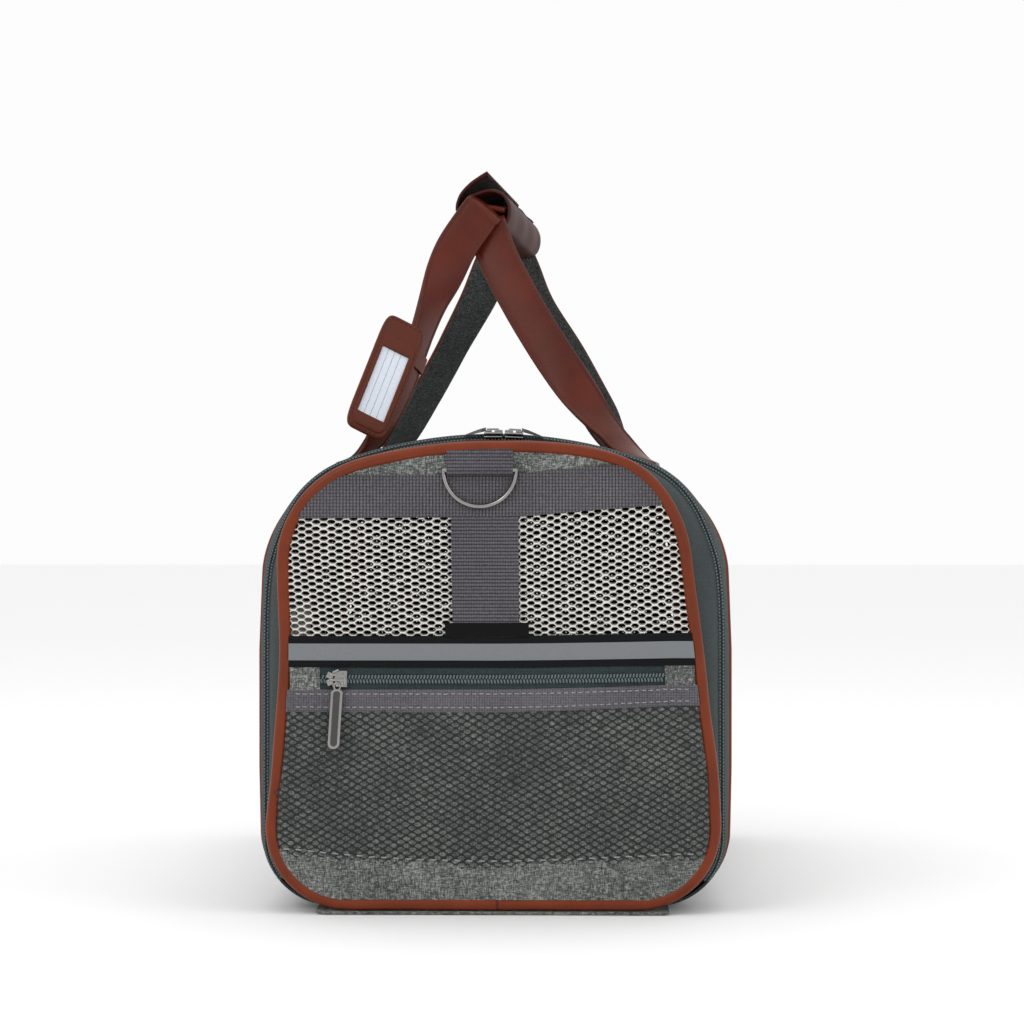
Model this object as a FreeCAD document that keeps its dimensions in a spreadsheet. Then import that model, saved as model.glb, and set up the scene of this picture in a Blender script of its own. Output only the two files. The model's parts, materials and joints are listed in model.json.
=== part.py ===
"""Pet carrier bag: a soft box with a zipped end door, mesh windows and two joined handles.

Millimetres. +X is to the right seen from the door end, +Y runs from the door to the rear end and +Z is
up. The origin is on the floor, under the middle of the bag.
"""
import FreeCAD, Part
import Sketcher
import math
import os
import re

Vector = FreeCAD.Vector
doc = FreeCAD.newDocument("pet_carrier_bag")
sheet = doc.addObject("Spreadsheet::Sheet", "Sizes")

DIMENSIONS = {
    "bag_length": 457,            # over the pipings of both ends
    "hull_half_width": 136,       # hull: the full-size part of the bag, behind the door zip
    "hull_height": 278,
    "hull_low_corner": 42,
    "hull_top_corner": 72,
    "hull_crown": 270,            # radius of the arched top
    "hull_floor": 0,
    "rim_low_half_width": 127,    # rim: centre-line of the end piping, smaller than the hull
    "rim_top_half_width": 116,
    "rim_height": 268,
    "rim_low_corner": 36,
    "rim_top_corner": 62,
    "rim_crown": 260,
    "rim_floor": 6.3,
    "piping_radius": 3.5,
    "face_offset": 1.5,           # the end panels stand this much outside the piping's centre-line
    "rim_clearance": 3.6,         # from the piping's centre-line in to the end cloth
    "wall_inset": 0.6,            # outer face of the bag's cloth, in from the hull
    "wall_thickness": 2.4,
    "mesh_inset": 1.0,
    "mesh_thickness": 1.2,
    "base_half_width": 101,
    "base_thickness": 2,
    "base_clear_height": 12,      # the ends stay open this high over the base panel
    "zip_station": 206,           # middle of the door zip, from the bag's middle
    "zip_half_gap": 0.3,
    "zip_coil_width": 1.8,
    "zip_tape_width": 1.9,
    "zip_coil_inset": 1.2,
    "zip_coil_height": 2.2,
    "zip_end_height": 14,
    "collar_end": 176.1,
    "wall_end": 172,
    "seam_piping_radius": 1.8,
    "seam_piping_inset": 1.3,
    "seam_piping_station": 174,
    "seam_piping_end_height": 8,
    "wire_radius": 1.2,
    "wire_inset": 3.9,
    "wire_station": 178,
    "band_end_height": 10,
    "side_top": 200,              # seam between the side panels and the top panel
    "side_window_low": 70,
    "side_window_high": 172,
    "side_window_half_length": 126,
    "top_window_half_width": 62,
    "top_window_half_length": 122,
    "board_half_width": 98,
    "board_half_length": 170,
    "board_bottom": 2.3,
    "board_thickness": 3,
    "bed_half_width": 104,
    "bed_half_length": 167,
    "bed_bottom": 5.6,
    "bed_thickness": 16,
    "bed_corner": 7,
    "mesh_low": 159.9,            # heights on the end face
    "mesh_high": 227.4,
    "band_high": 251.4,
    "label_low": 159.3,
    "label_high": 167.3,
    "strip_low": 141.6,
    "reflective_low": 145.6,
    "reflective_high": 155.3,
    "pocket_zip_low": 128.4,
    "pocket_zip_half_length": 100.4,
    "pocket_coil_height": 135,
    "binding_low": 115.8,
    "net_low": 37,
    "centre_webbing_left": 22.5,
    "centre_webbing_right": 15.8,
    "ring_middle": -7.2,          # the ring sits a little to the left of the middle
    "ring_loop_half_width": 18.9,
    "ring_loop_top": 264.2,
    "ring_axis_height": 254.4,
    "ring_axis_depth": 3.3,
    "ring_wire_radius": 1.25,
    "ring_bow_radius": 20.75,
    "loop_fold_radius": 2.9,
    "loop_bore_radius": 1.45,
    "slider_left": 94.6,
    "slider_right": 82.6,
    "slider_low": 130.4,
    "slider_high": 140,
    "pull_half_width": 3.5,
    "pull_low": 95.2,
    "pull_high": 130.2,
    "door_slider_length": 10,
    "door_slider_width": 7.2,
    "door_slider_height": 2.7,
    "door_slider_sink": 0.7,      # the slider's underside lies this far under the hull's crown
    "door_pull_length": 11,
    "door_pull_width": 6.6,
    "door_pull_thickness": 1.6,
    "door_pull_lift": 0.2,
    "anchor_inner": 78,
    "anchor_outer": 101,
    "anchor_station": 110,
    "anchor_half_length": 15,
    "anchor_thickness": 1.8,
    "strap_width": 25,
    "strap_thickness": 4,
    "grip_half_length": 59.5,
    "left_leg_gap": 7.5,          # each leg ends this far beyond its grip; the left pair passes outside
    "right_leg_gap": 2.5,
    "wrap_half_length": 58,
    "wrap_thickness": 2.6,
    "tag_length": 78,
    "tag_width": 28,
    "tag_thickness": 2.6,
    "tag_corner": 5,
    "tag_window_length": 46,
    "tag_window_width": 18,
    "tag_window_shift": -5,
    "card_thickness": 0.8,
}
for row, (alias, number) in enumerate(DIMENSIONS.items(), start=1):
    sheet.set(f"A{row}", alias)
    sheet.set(f"B{row}", str(number))
    sheet.setAlias(f"B{row}", alias)
doc.recompute()

PIECES = []


def formula(text):
    """The expression with each alias given its full name in the sheet."""
    return re.sub(r"[a-z_]{3,}", lambda found: "Sizes." + found[0] if found[0] in DIMENSIONS else found[0],
                  str(text))


def bind(target, **formulas):
    """Bind properties to sheet formulas; a double underscore in a name stands for a dot."""
    for name, text in formulas.items():
        target.setExpression(name.replace("__", "."), formula(text))


def value(alias):
    return float(getattr(sheet, alias))


def piece(shape_object, label):
    """Keep this object as the sub-part of that name."""
    shape_object.Label = label
    PIECES.append(shape_object)
    return shape_object


# Solids and booleans

def block(name, x_span, y_span, z_span):
    """A box between the two formulas given for each axis."""
    box = doc.addObject("Part::Box", name)
    bind(box, Length=f"({x_span[1]}) - ({x_span[0]})", Width=f"({y_span[1]}) - ({y_span[0]})",
         Height=f"({z_span[1]}) - ({z_span[0]})", Placement__Base__x=x_span[0],
         Placement__Base__y=y_span[0], Placement__Base__z=z_span[0])
    return box


def combine(kind, name, base, tool):
    """Part::Cut, Part::Common or Part::Fuse of two objects."""
    result = doc.addObject("Part::" + kind, name)
    result.Base = base
    result.Tool = tool
    return result


def cylinder(name, radius, length, position, axis):
    rod = doc.addObject("Part::Cylinder", name)
    bind(rod, Radius=radius, Height=length, Placement__Base__x=position[0], Placement__Base__y=position[1],
         Placement__Base__z=position[2])
    rod.Placement.Rotation = FreeCAD.Rotation(Vector(0, 0, 1), axis)
    return rod


# End-on outlines of the bag

def outline_form(form):
    """Centres, radii and tangent directions of an outline, as numbers, for drawing it."""
    low_half = value("hull_half_width" if form == "hull" else "rim_low_half_width")
    top_half = value("hull_half_width" if form == "hull" else "rim_top_half_width")
    low, top, crown = (value(f"{form}_{part}") for part in ("low_corner", "top_corner", "crown"))
    crown_centre = Vector(0, value(form + "_height") - crown, 0)
    low_centre = Vector(low_half - low, value(form + "_floor") + low, 0)
    top_x = top_half - top
    top_centre = Vector(top_x, crown_centre.y + math.sqrt((crown - top) ** 2 - top_x ** 2), 0)
    along = top_centre - low_centre
    share = (low - top) / along.Length
    along.normalize()
    across = Vector(along.y, -along.x, 0)
    side = along * share + across * math.sqrt(1 - share ** 2)
    shoulder = top_centre - crown_centre
    side_angle = math.atan2(side.y, side.x)
    shoulder_angle = math.atan2(shoulder.y, shoulder.x)
    return low_centre, top_centre, crown_centre, low, top, crown, side_angle, shoulder_angle


def outline(name, form, station, inset="0"):
    """Closed outline of the hull or rim, drawn in by inset, standing at y = station.

    Flat bottom, round lower corners, straight sides, wider upper corners and an arched crown.
    """
    sketch = doc.addObject("Sketcher::SketchObject", name)
    sketch.Placement.Rotation = FreeCAD.Rotation(Vector(1, 0, 0), 90)
    bind(sketch, Placement__Base__y=station)
    low_centre, top_centre, crown_centre, low, top, crown, side, shoulder = outline_form(form)
    gap = float(sheet.evalExpression(formula(inset)))
    low, top, crown = low - gap, top - gap, crown - gap

    def mirrored(point):
        return Vector(-point.x, point.y, 0)

    def arc(centre, radius, start, end):
        return Part.ArcOfCircle(Part.Circle(centre, Vector(0, 0, 1), radius), start, end)

    def on_circle(centre, radius, angle):
        return centre + Vector(math.cos(angle), math.sin(angle), 0) * radius

    floor_right = low_centre - Vector(0, low, 0)
    side_low, side_top = on_circle(low_centre, low, side), on_circle(top_centre, top, side)
    sketch.addGeometry([
        Part.LineSegment(mirrored(floor_right), floor_right),
        arc(low_centre, low, -math.pi / 2, side),
        Part.LineSegment(side_low, side_top),
        arc(top_centre, top, side, shoulder),
        arc(crown_centre, crown, shoulder, math.pi - shoulder),
        arc(mirrored(top_centre), top, math.pi - shoulder, math.pi - side),
        Part.LineSegment(mirrored(side_top), mirrored(side_low)),
        arc(mirrored(low_centre), low, math.pi - side, 1.5 * math.pi),
    ], False)
    count = 8
    for index in range(count):
        sketch.addConstraint(Sketcher.Constraint("Tangent", index, 2, (index + 1) % count, 1))
    for constraint in (("Horizontal", 0), ("Equal", 1, 7), ("Equal", 3, 5), ("PointOnObject", 4, 3, -2)):
        sketch.addConstraint(Sketcher.Constraint(*constraint))
    half = {"low": "hull_half_width" if form == "hull" else "rim_low_half_width",
            "top": "hull_half_width" if form == "hull" else "rim_top_half_width"}
    driven = [
        ("low_radius", ("Radius", 1, low), f"{form}_low_corner - ({inset})"),
        ("top_radius", ("Radius", 3, top), f"{form}_top_corner - ({inset})"),
        ("crown_radius", ("Radius", 4, crown), f"{form}_crown - ({inset})"),
        ("floor_height", ("DistanceY", -1, 1, 0, 1, floor_right.y), f"{form}_floor + ({inset})"),
        ("crown_centre", ("DistanceY", -1, 1, 4, 3, crown_centre.y), f"{form}_height - {form}_crown"),
        ("low_right", ("DistanceX", -1, 1, 1, 3, low_centre.x), f"{half['low']} - {form}_low_corner"),
        ("low_left", ("DistanceX", 7, 3, -1, 1, low_centre.x), f"{half['low']} - {form}_low_corner"),
        ("top_right", ("DistanceX", -1, 1, 3, 3, top_centre.x), f"{half['top']} - {form}_top_corner"),
        ("top_left", ("DistanceX", 5, 3, -1, 1, top_centre.x), f"{half['top']} - {form}_top_corner"),
    ]
    for constraint_name, constraint, driving in driven:
        number = sketch.addConstraint(Sketcher.Constraint(*constraint))
        sketch.renameConstraint(number, constraint_name)
        sketch.setExpression("Constraints." + constraint_name, formula(driving))
    return sketch


def prism(name, form, inset, start, end):
    """The outline, filled, from y = start to y = end."""
    solid = doc.addObject("Part::Extrusion", name)
    solid.Base = outline(name + "_outline", form, start, inset)
    solid.DirMode = "Custom"
    solid.Dir = Vector(0, 1, 0)
    solid.Solid = True
    bind(solid, LengthFwd=f"({end}) - ({start})")
    return solid


def shell(name, form, inset, thickness, start, end):
    """A tube of that thickness whose outer face is the outline drawn in by inset."""
    return combine("Cut", name, prism(name + "_outer", form, inset, start, end),
                   prism(name + "_inner", form, f"({inset}) + ({thickness})", start, end))


def round_ring(name, form, inset, station, radius):
    """A round bar bent along the outline."""
    path = outline(name + "_path", form, station, inset)
    profile = doc.addObject("Part::Circle", name + "_profile")
    low_half = "hull_half_width" if form == "hull" else "rim_low_half_width"
    bind(profile, Radius=radius, Placement__Base__x=f"{form}_low_corner - {low_half}",
         Placement__Base__y=station, Placement__Base__z=f"{form}_floor + ({inset})")
    profile.Placement.Rotation = FreeCAD.Rotation(Vector(0, 1, 0), 90)
    sweep = doc.addObject("Part::Sweep", name)
    sweep.Sections = [profile]
    sweep.Spine = (path, [f"Edge{number}" for number in range(1, 9)])
    sweep.Solid = True
    sweep.Frenet = False
    return sweep


def flared_shell(name, stations, insets, thickness):
    """A tube that widens from the rim at the first station to the hull at the second."""
    lofts = []
    for part, extra in (("outer", "0"), ("inner", thickness)):
        loft = doc.addObject("Part::Loft", f"{name}_{part}")
        loft.Sections = [outline(f"{name}_{part}_{form}", form, station, f"({inset}) + ({extra})")
                         for form, station, inset in zip(("rim", "hull"), stations, insets)]
        loft.Solid = True
        loft.Ruled = True
        lofts.append(loft)
    return combine("Cut", name, *lofts)


def trimmed(shape_object, name, height, half_width="200"):
    """The same solid without what lies below that height, within half_width of the middle."""
    tool = block(name + "_trim", (f"-({half_width})", half_width), ("-300", "300"), ("-20", height))
    return combine("Cut", name, shape_object, tool)


# Base, walls and collars

BASE_GAP = "base_half_width + 0.2"

def make_base():
    skin = shell("base_skin", "hull", "0", "base_thickness", "1 - bag_length / 2", "bag_length / 2 - 1")
    zone = block("base_zone", ("-base_half_width", "base_half_width"), ("-300", "300"), ("-1", "9"))
    piece(combine("Common", "base", skin, zone), "base_panel")
    for label, part in (("base_board", "board"), ("fleece_bed", "bed")):
        slab = block(part + "_slab", (f"-{part}_half_width", f"{part}_half_width"),
                     (f"-{part}_half_length", f"{part}_half_length"),
                     (f"{part}_bottom", f"{part}_bottom + {part}_thickness"))
        if part == "board":
            piece(slab, label)
            continue
        doc.recompute()
        rounded = doc.addObject("Part::Fillet", "bed_rounded")
        rounded.Base = slab
        corner = value("bed_corner")
        rounded.Edges = [(number, corner, corner) for number in range(1, 13)]
        piece(rounded, label)


def make_walls():
    wall = shell("wall", "hull", "wall_inset", "wall_thickness", "-wall_end", "wall_end")
    net = shell("wall_net", "hull", "mesh_inset", "mesh_thickness", "-wall_end", "wall_end")
    window_length = ("-side_window_half_length", "side_window_half_length")
    for name, near, far in (("left", "-200", f"-({BASE_GAP})"), ("right", BASE_GAP, "200")):
        side = block(name + "_side", (near, far), ("-300", "300"), ("-10", "side_top"))
        window = block(name + "_window", (near, far), window_length,
                       ("side_window_low", "side_window_high"))
        cloth = combine("Common", name + "_side_cloth", wall, side)
        piece(combine("Cut", name + "_side_frame", cloth, window), name + "_side_panel")
        piece(combine("Common", name + "_side_net", net, window), name + "_side_mesh")
    roof = block("roof", ("-200", "200"), ("-300", "300"), ("side_top + 0.1", "300"))
    window = block("roof_window", ("-top_window_half_width", "top_window_half_width"),
                   ("-top_window_half_length", "top_window_half_length"), ("250", "300"))
    piece(combine("Cut", "roof_frame", combine("Common", "roof_cloth", wall, roof), window), "top_panel")
    piece(combine("Common", "roof_net", net, window), "top_mesh")


def make_collars():
    front = shell("front_ring", "hull", "wall_inset", "2", "-(zip_station - 4.1)", "-collar_end")
    piece(trimmed(front, "front_collar_cloth", "base_clear_height", BASE_GAP), "front_collar")
    rear = shell("rear_ring", "hull", "wall_inset", "2", "collar_end", "zip_station + 4")
    piece(trimmed(rear, "rear_collar_cloth", "base_clear_height", BASE_GAP), "rear_collar")
    for name, sign in (("front", "-"), ("rear", "")):
        piping = round_ring(name + "_seam", "hull", "seam_piping_inset", sign + "seam_piping_station",
                            "seam_piping_radius")
        piece(trimmed(piping, name + "_seam_cord", "seam_piping_end_height"), name + "_seam_piping")
        piece(round_ring(name + "_wire", "hull", "wire_inset", sign + "wire_station", "wire_radius"),
              name + "_frame_wire")


def make_end_bands():
    """The gusset bands that flare from each end piping out to the hull."""
    for name, label, sign, end_height, width in (
            ("front_flare", "door_band", "-", "band_end_height", "200"),
            ("rear_flare", "rear_band", "", "base_clear_height", BASE_GAP)):
        stations = (f"{sign}(bag_length / 2 - 2 * piping_radius - 0.2)", f"{sign}(zip_station + 4.1)")
        band = flared_shell(name, stations, ("-1.2", "wall_inset"), "2")
        piece(trimmed(band, name + "_cloth", end_height, width), label)


def make_door_zip():
    """Two stepped tapes with a coil each, on the bag and on the door."""
    for label, sign in (("door_zip_body_side", 1), ("door_zip_door_side", -1)):
        near = f"-zip_station + {sign} * zip_half_gap"
        middle = f"{near} + {sign} * zip_coil_width"
        far = f"{middle} + {sign} * zip_tape_width"
        coil_span, tape_span = (near, middle), (middle, far)
        if sign < 0:
            coil_span, tape_span = (middle, near), (far, middle)
        coil = shell(label + "_coil", "hull", "zip_coil_inset", "zip_coil_height", *coil_span)
        tape = shell(label + "_tape", "hull", "zip_coil_inset + 0.5", "1.2", *tape_span)
        both = combine("Fuse", label + "_both", coil, tape)
        piece(trimmed(both, label + "_cut", "zip_end_height"), label)


# Cloth and trims of the two end faces

FACE = "(bag_length / 2 - piping_radius + face_offset)"
WHOLE = ("-150", "150")

def rim_space(name, sign):
    """The space inside an end piping."""
    start, end = "zip_station - 6", f"{FACE} + 20"
    if sign < 0:
        start, end = f"-({FACE} + 20)", "-(zip_station - 6)"
    return prism(name, "rim", "rim_clearance", start, end)


def layer(name, sign, x_span, depth_span, z_span, space=None):
    """A flat layer on an end face. Depth is measured outward from the face."""
    near, far = (f"{sign} * ({FACE} + ({depth}))" for depth in depth_span)
    if sign < 0:
        near, far = far, near
    sheet_block = block(name + "_block", x_span, (near, far), z_span)
    return combine("Common", name, sheet_block, space) if space else sheet_block


def make_end_face(name, sign, space, low):
    """The cloth and mesh that both ends share."""
    piece(layer(name + "_top_cloth", sign, WHOLE, ("-2", "0"), ("mesh_high", "290"), space),
          name + "_top_panel")
    piece(layer(name + "_window", sign, WHOLE, ("-1.5", "-0.3"), (low, "mesh_high"), space),
          name + "_mesh")
    piece(layer(name + "_low_cloth", sign, WHOLE, ("-2", "0"), ("0", low), space),
          name + "_lower_panel")
    piece(layer(name + "_band_webbing", sign, WHOLE, ("0", "1.5"), ("mesh_high", "band_high"), space),
          name + "_top_webbing")
    piping = round_ring(name + "_cord", "rim", "0", f"{sign} * (bag_length / 2 - piping_radius)",
                        "piping_radius")
    piece(piping, name + "_piping")


def make_door_trims(space):
    trims = [
        ("door_centre_webbing", ("-centre_webbing_left", "centre_webbing_right"), ("0", "1.5"),
         ("mesh_low", "mesh_high")),
        ("blank_label", ("-27", "21.5"), ("1.55", "1.95"), ("label_low", "label_high")),
        ("strip_tape", WHOLE, ("0", "1.2"), ("strip_low", "mesh_low")),
        ("reflective_strip", WHOLE, ("1.2", "1.8"), ("reflective_low", "reflective_high")),
        ("pocket_binding", WHOLE, ("0", "2"), ("binding_low", "pocket_zip_low")),
        ("pocket_mesh", WHOLE, ("0.2", "1.4"), ("net_low", "binding_low")),
        ("door_bottom_panel", WHOLE, ("0", "1.2"), ("0", "net_low")),
    ]
    for label, x_span, depth_span, z_span in trims:
        piece(layer(label + "_trim", -1, x_span, depth_span, z_span, space), label)
    tabs = layer("zip_tabs", -1, WHOLE, ("0", "1.7"), ("pocket_zip_low", "strip_low"), space)
    between = layer("zip_zone", -1, ("-pocket_zip_half_length", "pocket_zip_half_length"), ("-1", "3"),
                    ("pocket_zip_low - 1", "strip_low + 1"))
    piece(combine("Cut", "zip_tab_pair", tabs, between), "pocket_zip_tabs")
    half_tape = "(pocket_zip_half_length - 0.1)"
    tape = layer("pocket_tape", -1, (f"-{half_tape}", half_tape), ("0", "1.2"),
                 ("pocket_zip_low", "strip_low"))
    coil = cylinder("pocket_coil", "1.3", f"2 * {half_tape}",
                    (f"-{half_tape}", f"-({FACE} + 1.3)", "pocket_coil_height"), Vector(1, 0, 0))
    piece(combine("Fuse", "pocket_tape_and_coil", tape, coil), "pocket_zip")


def make_ring_and_loop(name, sign, space):
    """A webbing loop folded round the straight bar of a D-ring, and the ring."""
    axis_place = ("ring_middle - ring_loop_half_width", f"{sign} * ({FACE} + ring_axis_depth)",
                  "ring_axis_height")
    span = ("ring_middle - ring_loop_half_width", "ring_middle + ring_loop_half_width")
    tab = layer(name + "_tab", sign, span, ("0", "ring_axis_depth"), ("ring_axis_height", "ring_loop_top"),
                space)
    width, across = "2 * ring_loop_half_width", Vector(1, 0, 0)
    fold = cylinder(name + "_fold", "loop_fold_radius", width, axis_place, across)
    bore = cylinder(name + "_bore", "loop_bore_radius", width, axis_place, across)
    piece(combine("Cut", name + "_webbing", combine("Fuse", name + "_solid", tab, fold), bore),
          name + "_ring_loop")

    bow = doc.addObject("Part::Torus", name + "_bow")
    bind(bow, Radius1="ring_bow_radius", Radius2="ring_wire_radius", Placement__Base__x="ring_middle",
         Placement__Base__y=axis_place[1], Placement__Base__z=axis_place[2])
    bow.Angle3 = 180
    bow.Placement.Rotation = FreeCAD.Rotation(Vector(1, 0, 0), -90)
    bar = cylinder(name + "_bar", "ring_wire_radius", "2 * ring_bow_radius",
                   ("ring_middle - ring_bow_radius", axis_place[1], axis_place[2]), Vector(1, 0, 0))
    ring = combine("Fuse", name + "_bow_and_bar", bow, bar)
    for end, side in (("left", "-"), ("right", "+")):
        corner = doc.addObject("Part::Sphere", f"{name}_{end}_corner")
        bind(corner, Radius="ring_wire_radius", Placement__Base__x=f"ring_middle {side} ring_bow_radius",
             Placement__Base__y=axis_place[1], Placement__Base__z=axis_place[2])
        ring = combine("Fuse", f"{name}_ring_{end}", ring, corner)
    piece(ring, name + "_d_ring")


# Zip sliders and pulls

def make_pocket_slider():
    x_span = ("-slider_left", "-slider_right")
    plate = layer("slider_plate", -1, x_span, ("2.8", "4.2"), ("slider_low", "slider_high"))
    bridge = layer("slider_bridge", -1, ("-slider_left + 3", "-slider_right - 3"), ("4.2", "5.2"),
                   ("slider_low + 2.5", "slider_high - 2"))
    piece(combine("Fuse", "slider_whole", plate, bridge), "pocket_slider")
    middle = "(slider_left + slider_right) / 2"
    blade = layer("pull_blade", -1, (f"-{middle} - pull_half_width", f"-{middle} + pull_half_width"),
                  ("4.6", "6"), ("pull_low + pull_half_width", "pull_high"))
    tip = cylinder("pull_tip", "pull_half_width", "1.4",
                   (f"-{middle}", f"-({FACE} + 6)", "pull_low + pull_half_width"), Vector(0, 1, 0))
    piece(combine("Fuse", "pull_whole", blade, tip), "pocket_pull")


def on_crown(angle, station, lift):
    """Placement on the crown: angle in degrees from the top, its local z pointing outward."""
    crown_centre = Vector(0, -station, value("hull_height") - value("hull_crown"))
    turn = FreeCAD.Rotation(Vector(0, 1, 0), angle)
    return FreeCAD.Placement(crown_centre + turn.multVec(Vector(0, 0, value("hull_crown") + lift)), turn)


def make_door_sliders():
    """The two sliders meet a little to the right of the crown's middle, pulls pointing outward."""
    meeting = 1.27
    for side, sign in (("left", -1), ("right", 1)):
        for part, angle, lift in (("slider", 1.23, "-door_slider_sink"), ("pull", 3.57, "door_pull_lift")):
            prefix = "door_" + part
            solid = doc.addObject("Part::Box", f"{side}_{part}_solid")
            height = "door_slider_height" if part == "slider" else "door_pull_thickness"
            bind(solid, Length=prefix + "_length", Width=prefix + "_width", Height=height)
            raised = float(sheet.evalExpression(formula(lift)))
            middle = Vector(-value(prefix + "_length") / 2, -value(prefix + "_width") / 2, 0)
            centring = FreeCAD.Placement(middle, FreeCAD.Rotation())
            solid.Placement = on_crown(meeting + sign * angle, value("zip_station"), raised) * centring
            piece(solid, f"door_{part}_{side}")


# Handles, their wrap and the luggage tag

# Centre-line of each leg: x, z, and twist in degrees, from the shoulder up to the wrap.
LEG_ROUTES = {
    ("right", -1): [(87.5, 270.5, 0), (75, 278.5, 40), (62, 288, 80), (51, 302, 90), (28, 337, 90),
                    (18, 359, 90), (7.5, 386, 90), (0, 404, 90)],
    ("left", -1): [(-86, 271, 0), (-73, 283, 50), (-60.5, 308, 90), (-49, 340, 90), (-37.5, 370, 90),
                   (-24, 398, 90), (-14, 413, 90)],
    ("left", 1): [(-86, 271, 0), (-71.5, 283, 50), (-55, 308, 90), (-35, 345, 90), (-20, 377, 90),
                  (-12, 404, 90), (-9, 415, 90)],
    ("right", 1): [(87, 270.5, 0), (73, 283.5, 50), (59, 303, 90), (41, 334, 90), (21, 366, 90),
                   (6, 392, 90), (-1, 406, 90)],
}


def leg_stations(side, sign):
    """Route points with y running from the anchor at the shoulder to the end of the grip."""
    route = LEG_ROUTES[side, sign]
    low, high = route[0][1], route[-1][1]
    start, end = value("anchor_station"), value("grip_half_length") + value(side + "_leg_gap")
    return [(Vector(x, sign * (start + (end - start) * (z - low) / (high - low)), z), twist)
            for x, z, twist in route]


def strap_section(point, along, twist):
    """Rectangle across a strap; at twist 0 its width lies along Y."""
    along.normalize()
    lengthwise = Vector(0, 1, 0) - along * along.y
    lengthwise.normalize()
    crosswise = lengthwise.cross(along)
    angle = math.radians(twist)
    width = (lengthwise * math.cos(angle) + crosswise * math.sin(angle)) * value("strap_width") / 2
    depth = along.cross(width)
    depth.normalize()
    depth = depth * value("strap_thickness") / 2
    corners = [point + width + depth, point - width + depth, point - width - depth, point + width - depth]
    return Part.makePolygon(corners + corners[:1])


def make_handles():
    for side in ("left", "right"):
        legs = []
        for sign in (-1, 1):
            stations = leg_stations(side, sign)
            sections = []
            for index, (point, twist) in enumerate(stations):
                before = stations[max(index - 1, 0)][0]
                after = stations[min(index + 1, len(stations) - 1)][0]
                sections.append(strap_section(point, after - before, twist))
            legs.append(Part.makeLoft(sections, True, False))
        pair = doc.addObject("Part::Feature", side + "_leg_pair")
        pair.Shape = Part.Compound(legs)
        piece(pair, side + "_handle_legs")
    grips = (("left", "-21.5", "-21.5 + strap_width - 1.5", "419.6"),
             ("right", "-19", "-19 + strap_width - 1.5", "413.4"))
    for side, near, far, bottom in grips:
        piece(block(side + "_grip", (near, far), ("-grip_half_length", "grip_half_length"),
                    (bottom, f"{bottom} + strap_thickness")), side + "_handle_grip")
    patch = shell("anchor_skin", "hull", "-anchor_thickness", "anchor_thickness + 0.5", "-150", "150")
    for side, span in (("left", ("-anchor_outer", "-anchor_inner")),
                       ("right", ("anchor_inner", "anchor_outer"))):
        zones = [block(f"{side}_{end}_anchor", span, (f"{sign} * anchor_station - anchor_half_length",
                                                      f"{sign} * anchor_station + anchor_half_length"),
                       ("200", "300")) for end, sign in (("front", -1), ("rear", 1))]
        both = combine("Fuse", side + "_anchor_zone", *zones)
        piece(combine("Common", side + "_anchor_pair", patch, both), side + "_handle_anchors")


def strip_solid(route, thickness, half_length):
    """A bent strip: a smooth line through the points, thickened and drawn out along Y."""
    line = Part.BSplineCurve()
    line.interpolate([Vector(x, -half_length, z) for x, z in route])
    samples = 5 * len(route)
    faces = []
    for offset in (thickness / 2, -thickness / 2):
        points = []
        for index in range(samples + 1):
            parameter = line.FirstParameter + (line.LastParameter - line.FirstParameter) * index / samples
            along = line.tangent(parameter)[0]
            points.append(line.value(parameter) + Vector(-along.z, 0, along.x) * offset)
        curve = Part.BSplineCurve()
        curve.interpolate(points)
        faces.append(curve)
    first, second = faces
    ends = [Part.LineSegment(pair[0], pair[1]) for pair in
            ((first.EndPoint, second.EndPoint), (second.StartPoint, first.StartPoint))]
    wire = Part.Wire([first.toShape(), ends[0].toShape(), second.toShape(), ends[1].toShape()])
    return Part.Face(wire).extrude(Vector(0, 2 * half_length, 0))


WRAP_ROUTE = [(-22, 427.5), (-8, 433), (4, 428), (8.8, 417), (11.5, 405), (3, 396.5), (-10, 399),
              (-22, 407.5), (-27.5, 418.5)]
FLAP_ROUTE = [(-27.2, 419.6), (-25, 429), (-17.5, 437.5), (-8, 443)]

def make_wrap():
    for label, route in (("handle_wrap", WRAP_ROUTE), ("wrap_flap", FLAP_ROUTE)):
        strip = doc.addObject("Part::Feature", label + "_strip")
        strip.Shape = strip_solid(route, value("wrap_thickness"), value("wrap_half_length"))
        piece(strip, label)


TAG_TOP = Vector(-55.5, -100, 347)
TAG_BOTTOM = Vector(-79.5, -124, 281)

def tag_placement():
    """Middle of the tag: local y along its length, local z towards the door end."""
    along = TAG_TOP - TAG_BOTTOM
    along.normalize()
    across = Vector(along.z, 0, -along.x)
    across.normalize()
    outward = across.cross(along)
    turn = FreeCAD.Rotation(across, along, outward, "ZXY")
    return FreeCAD.Placement((TAG_TOP + TAG_BOTTOM) * 0.5, turn)


def plain_plate(name, length, width, thickness, lift="0", shift="0"):
    """A flat plate centred on the tag's middle, in the tag's own frame."""
    plate = doc.addObject("Part::Box", name)
    bind(plate, Length=width, Width=length, Height=thickness)
    numbers = [float(sheet.evalExpression(formula(text))) for text in (width, length, thickness, lift, shift)]
    corner = Vector(-numbers[0] / 2, -numbers[1] / 2 + numbers[4], -numbers[2] / 2 + numbers[3])
    plate.Placement = tag_placement() * FreeCAD.Placement(corner, FreeCAD.Rotation())
    return plate


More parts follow.
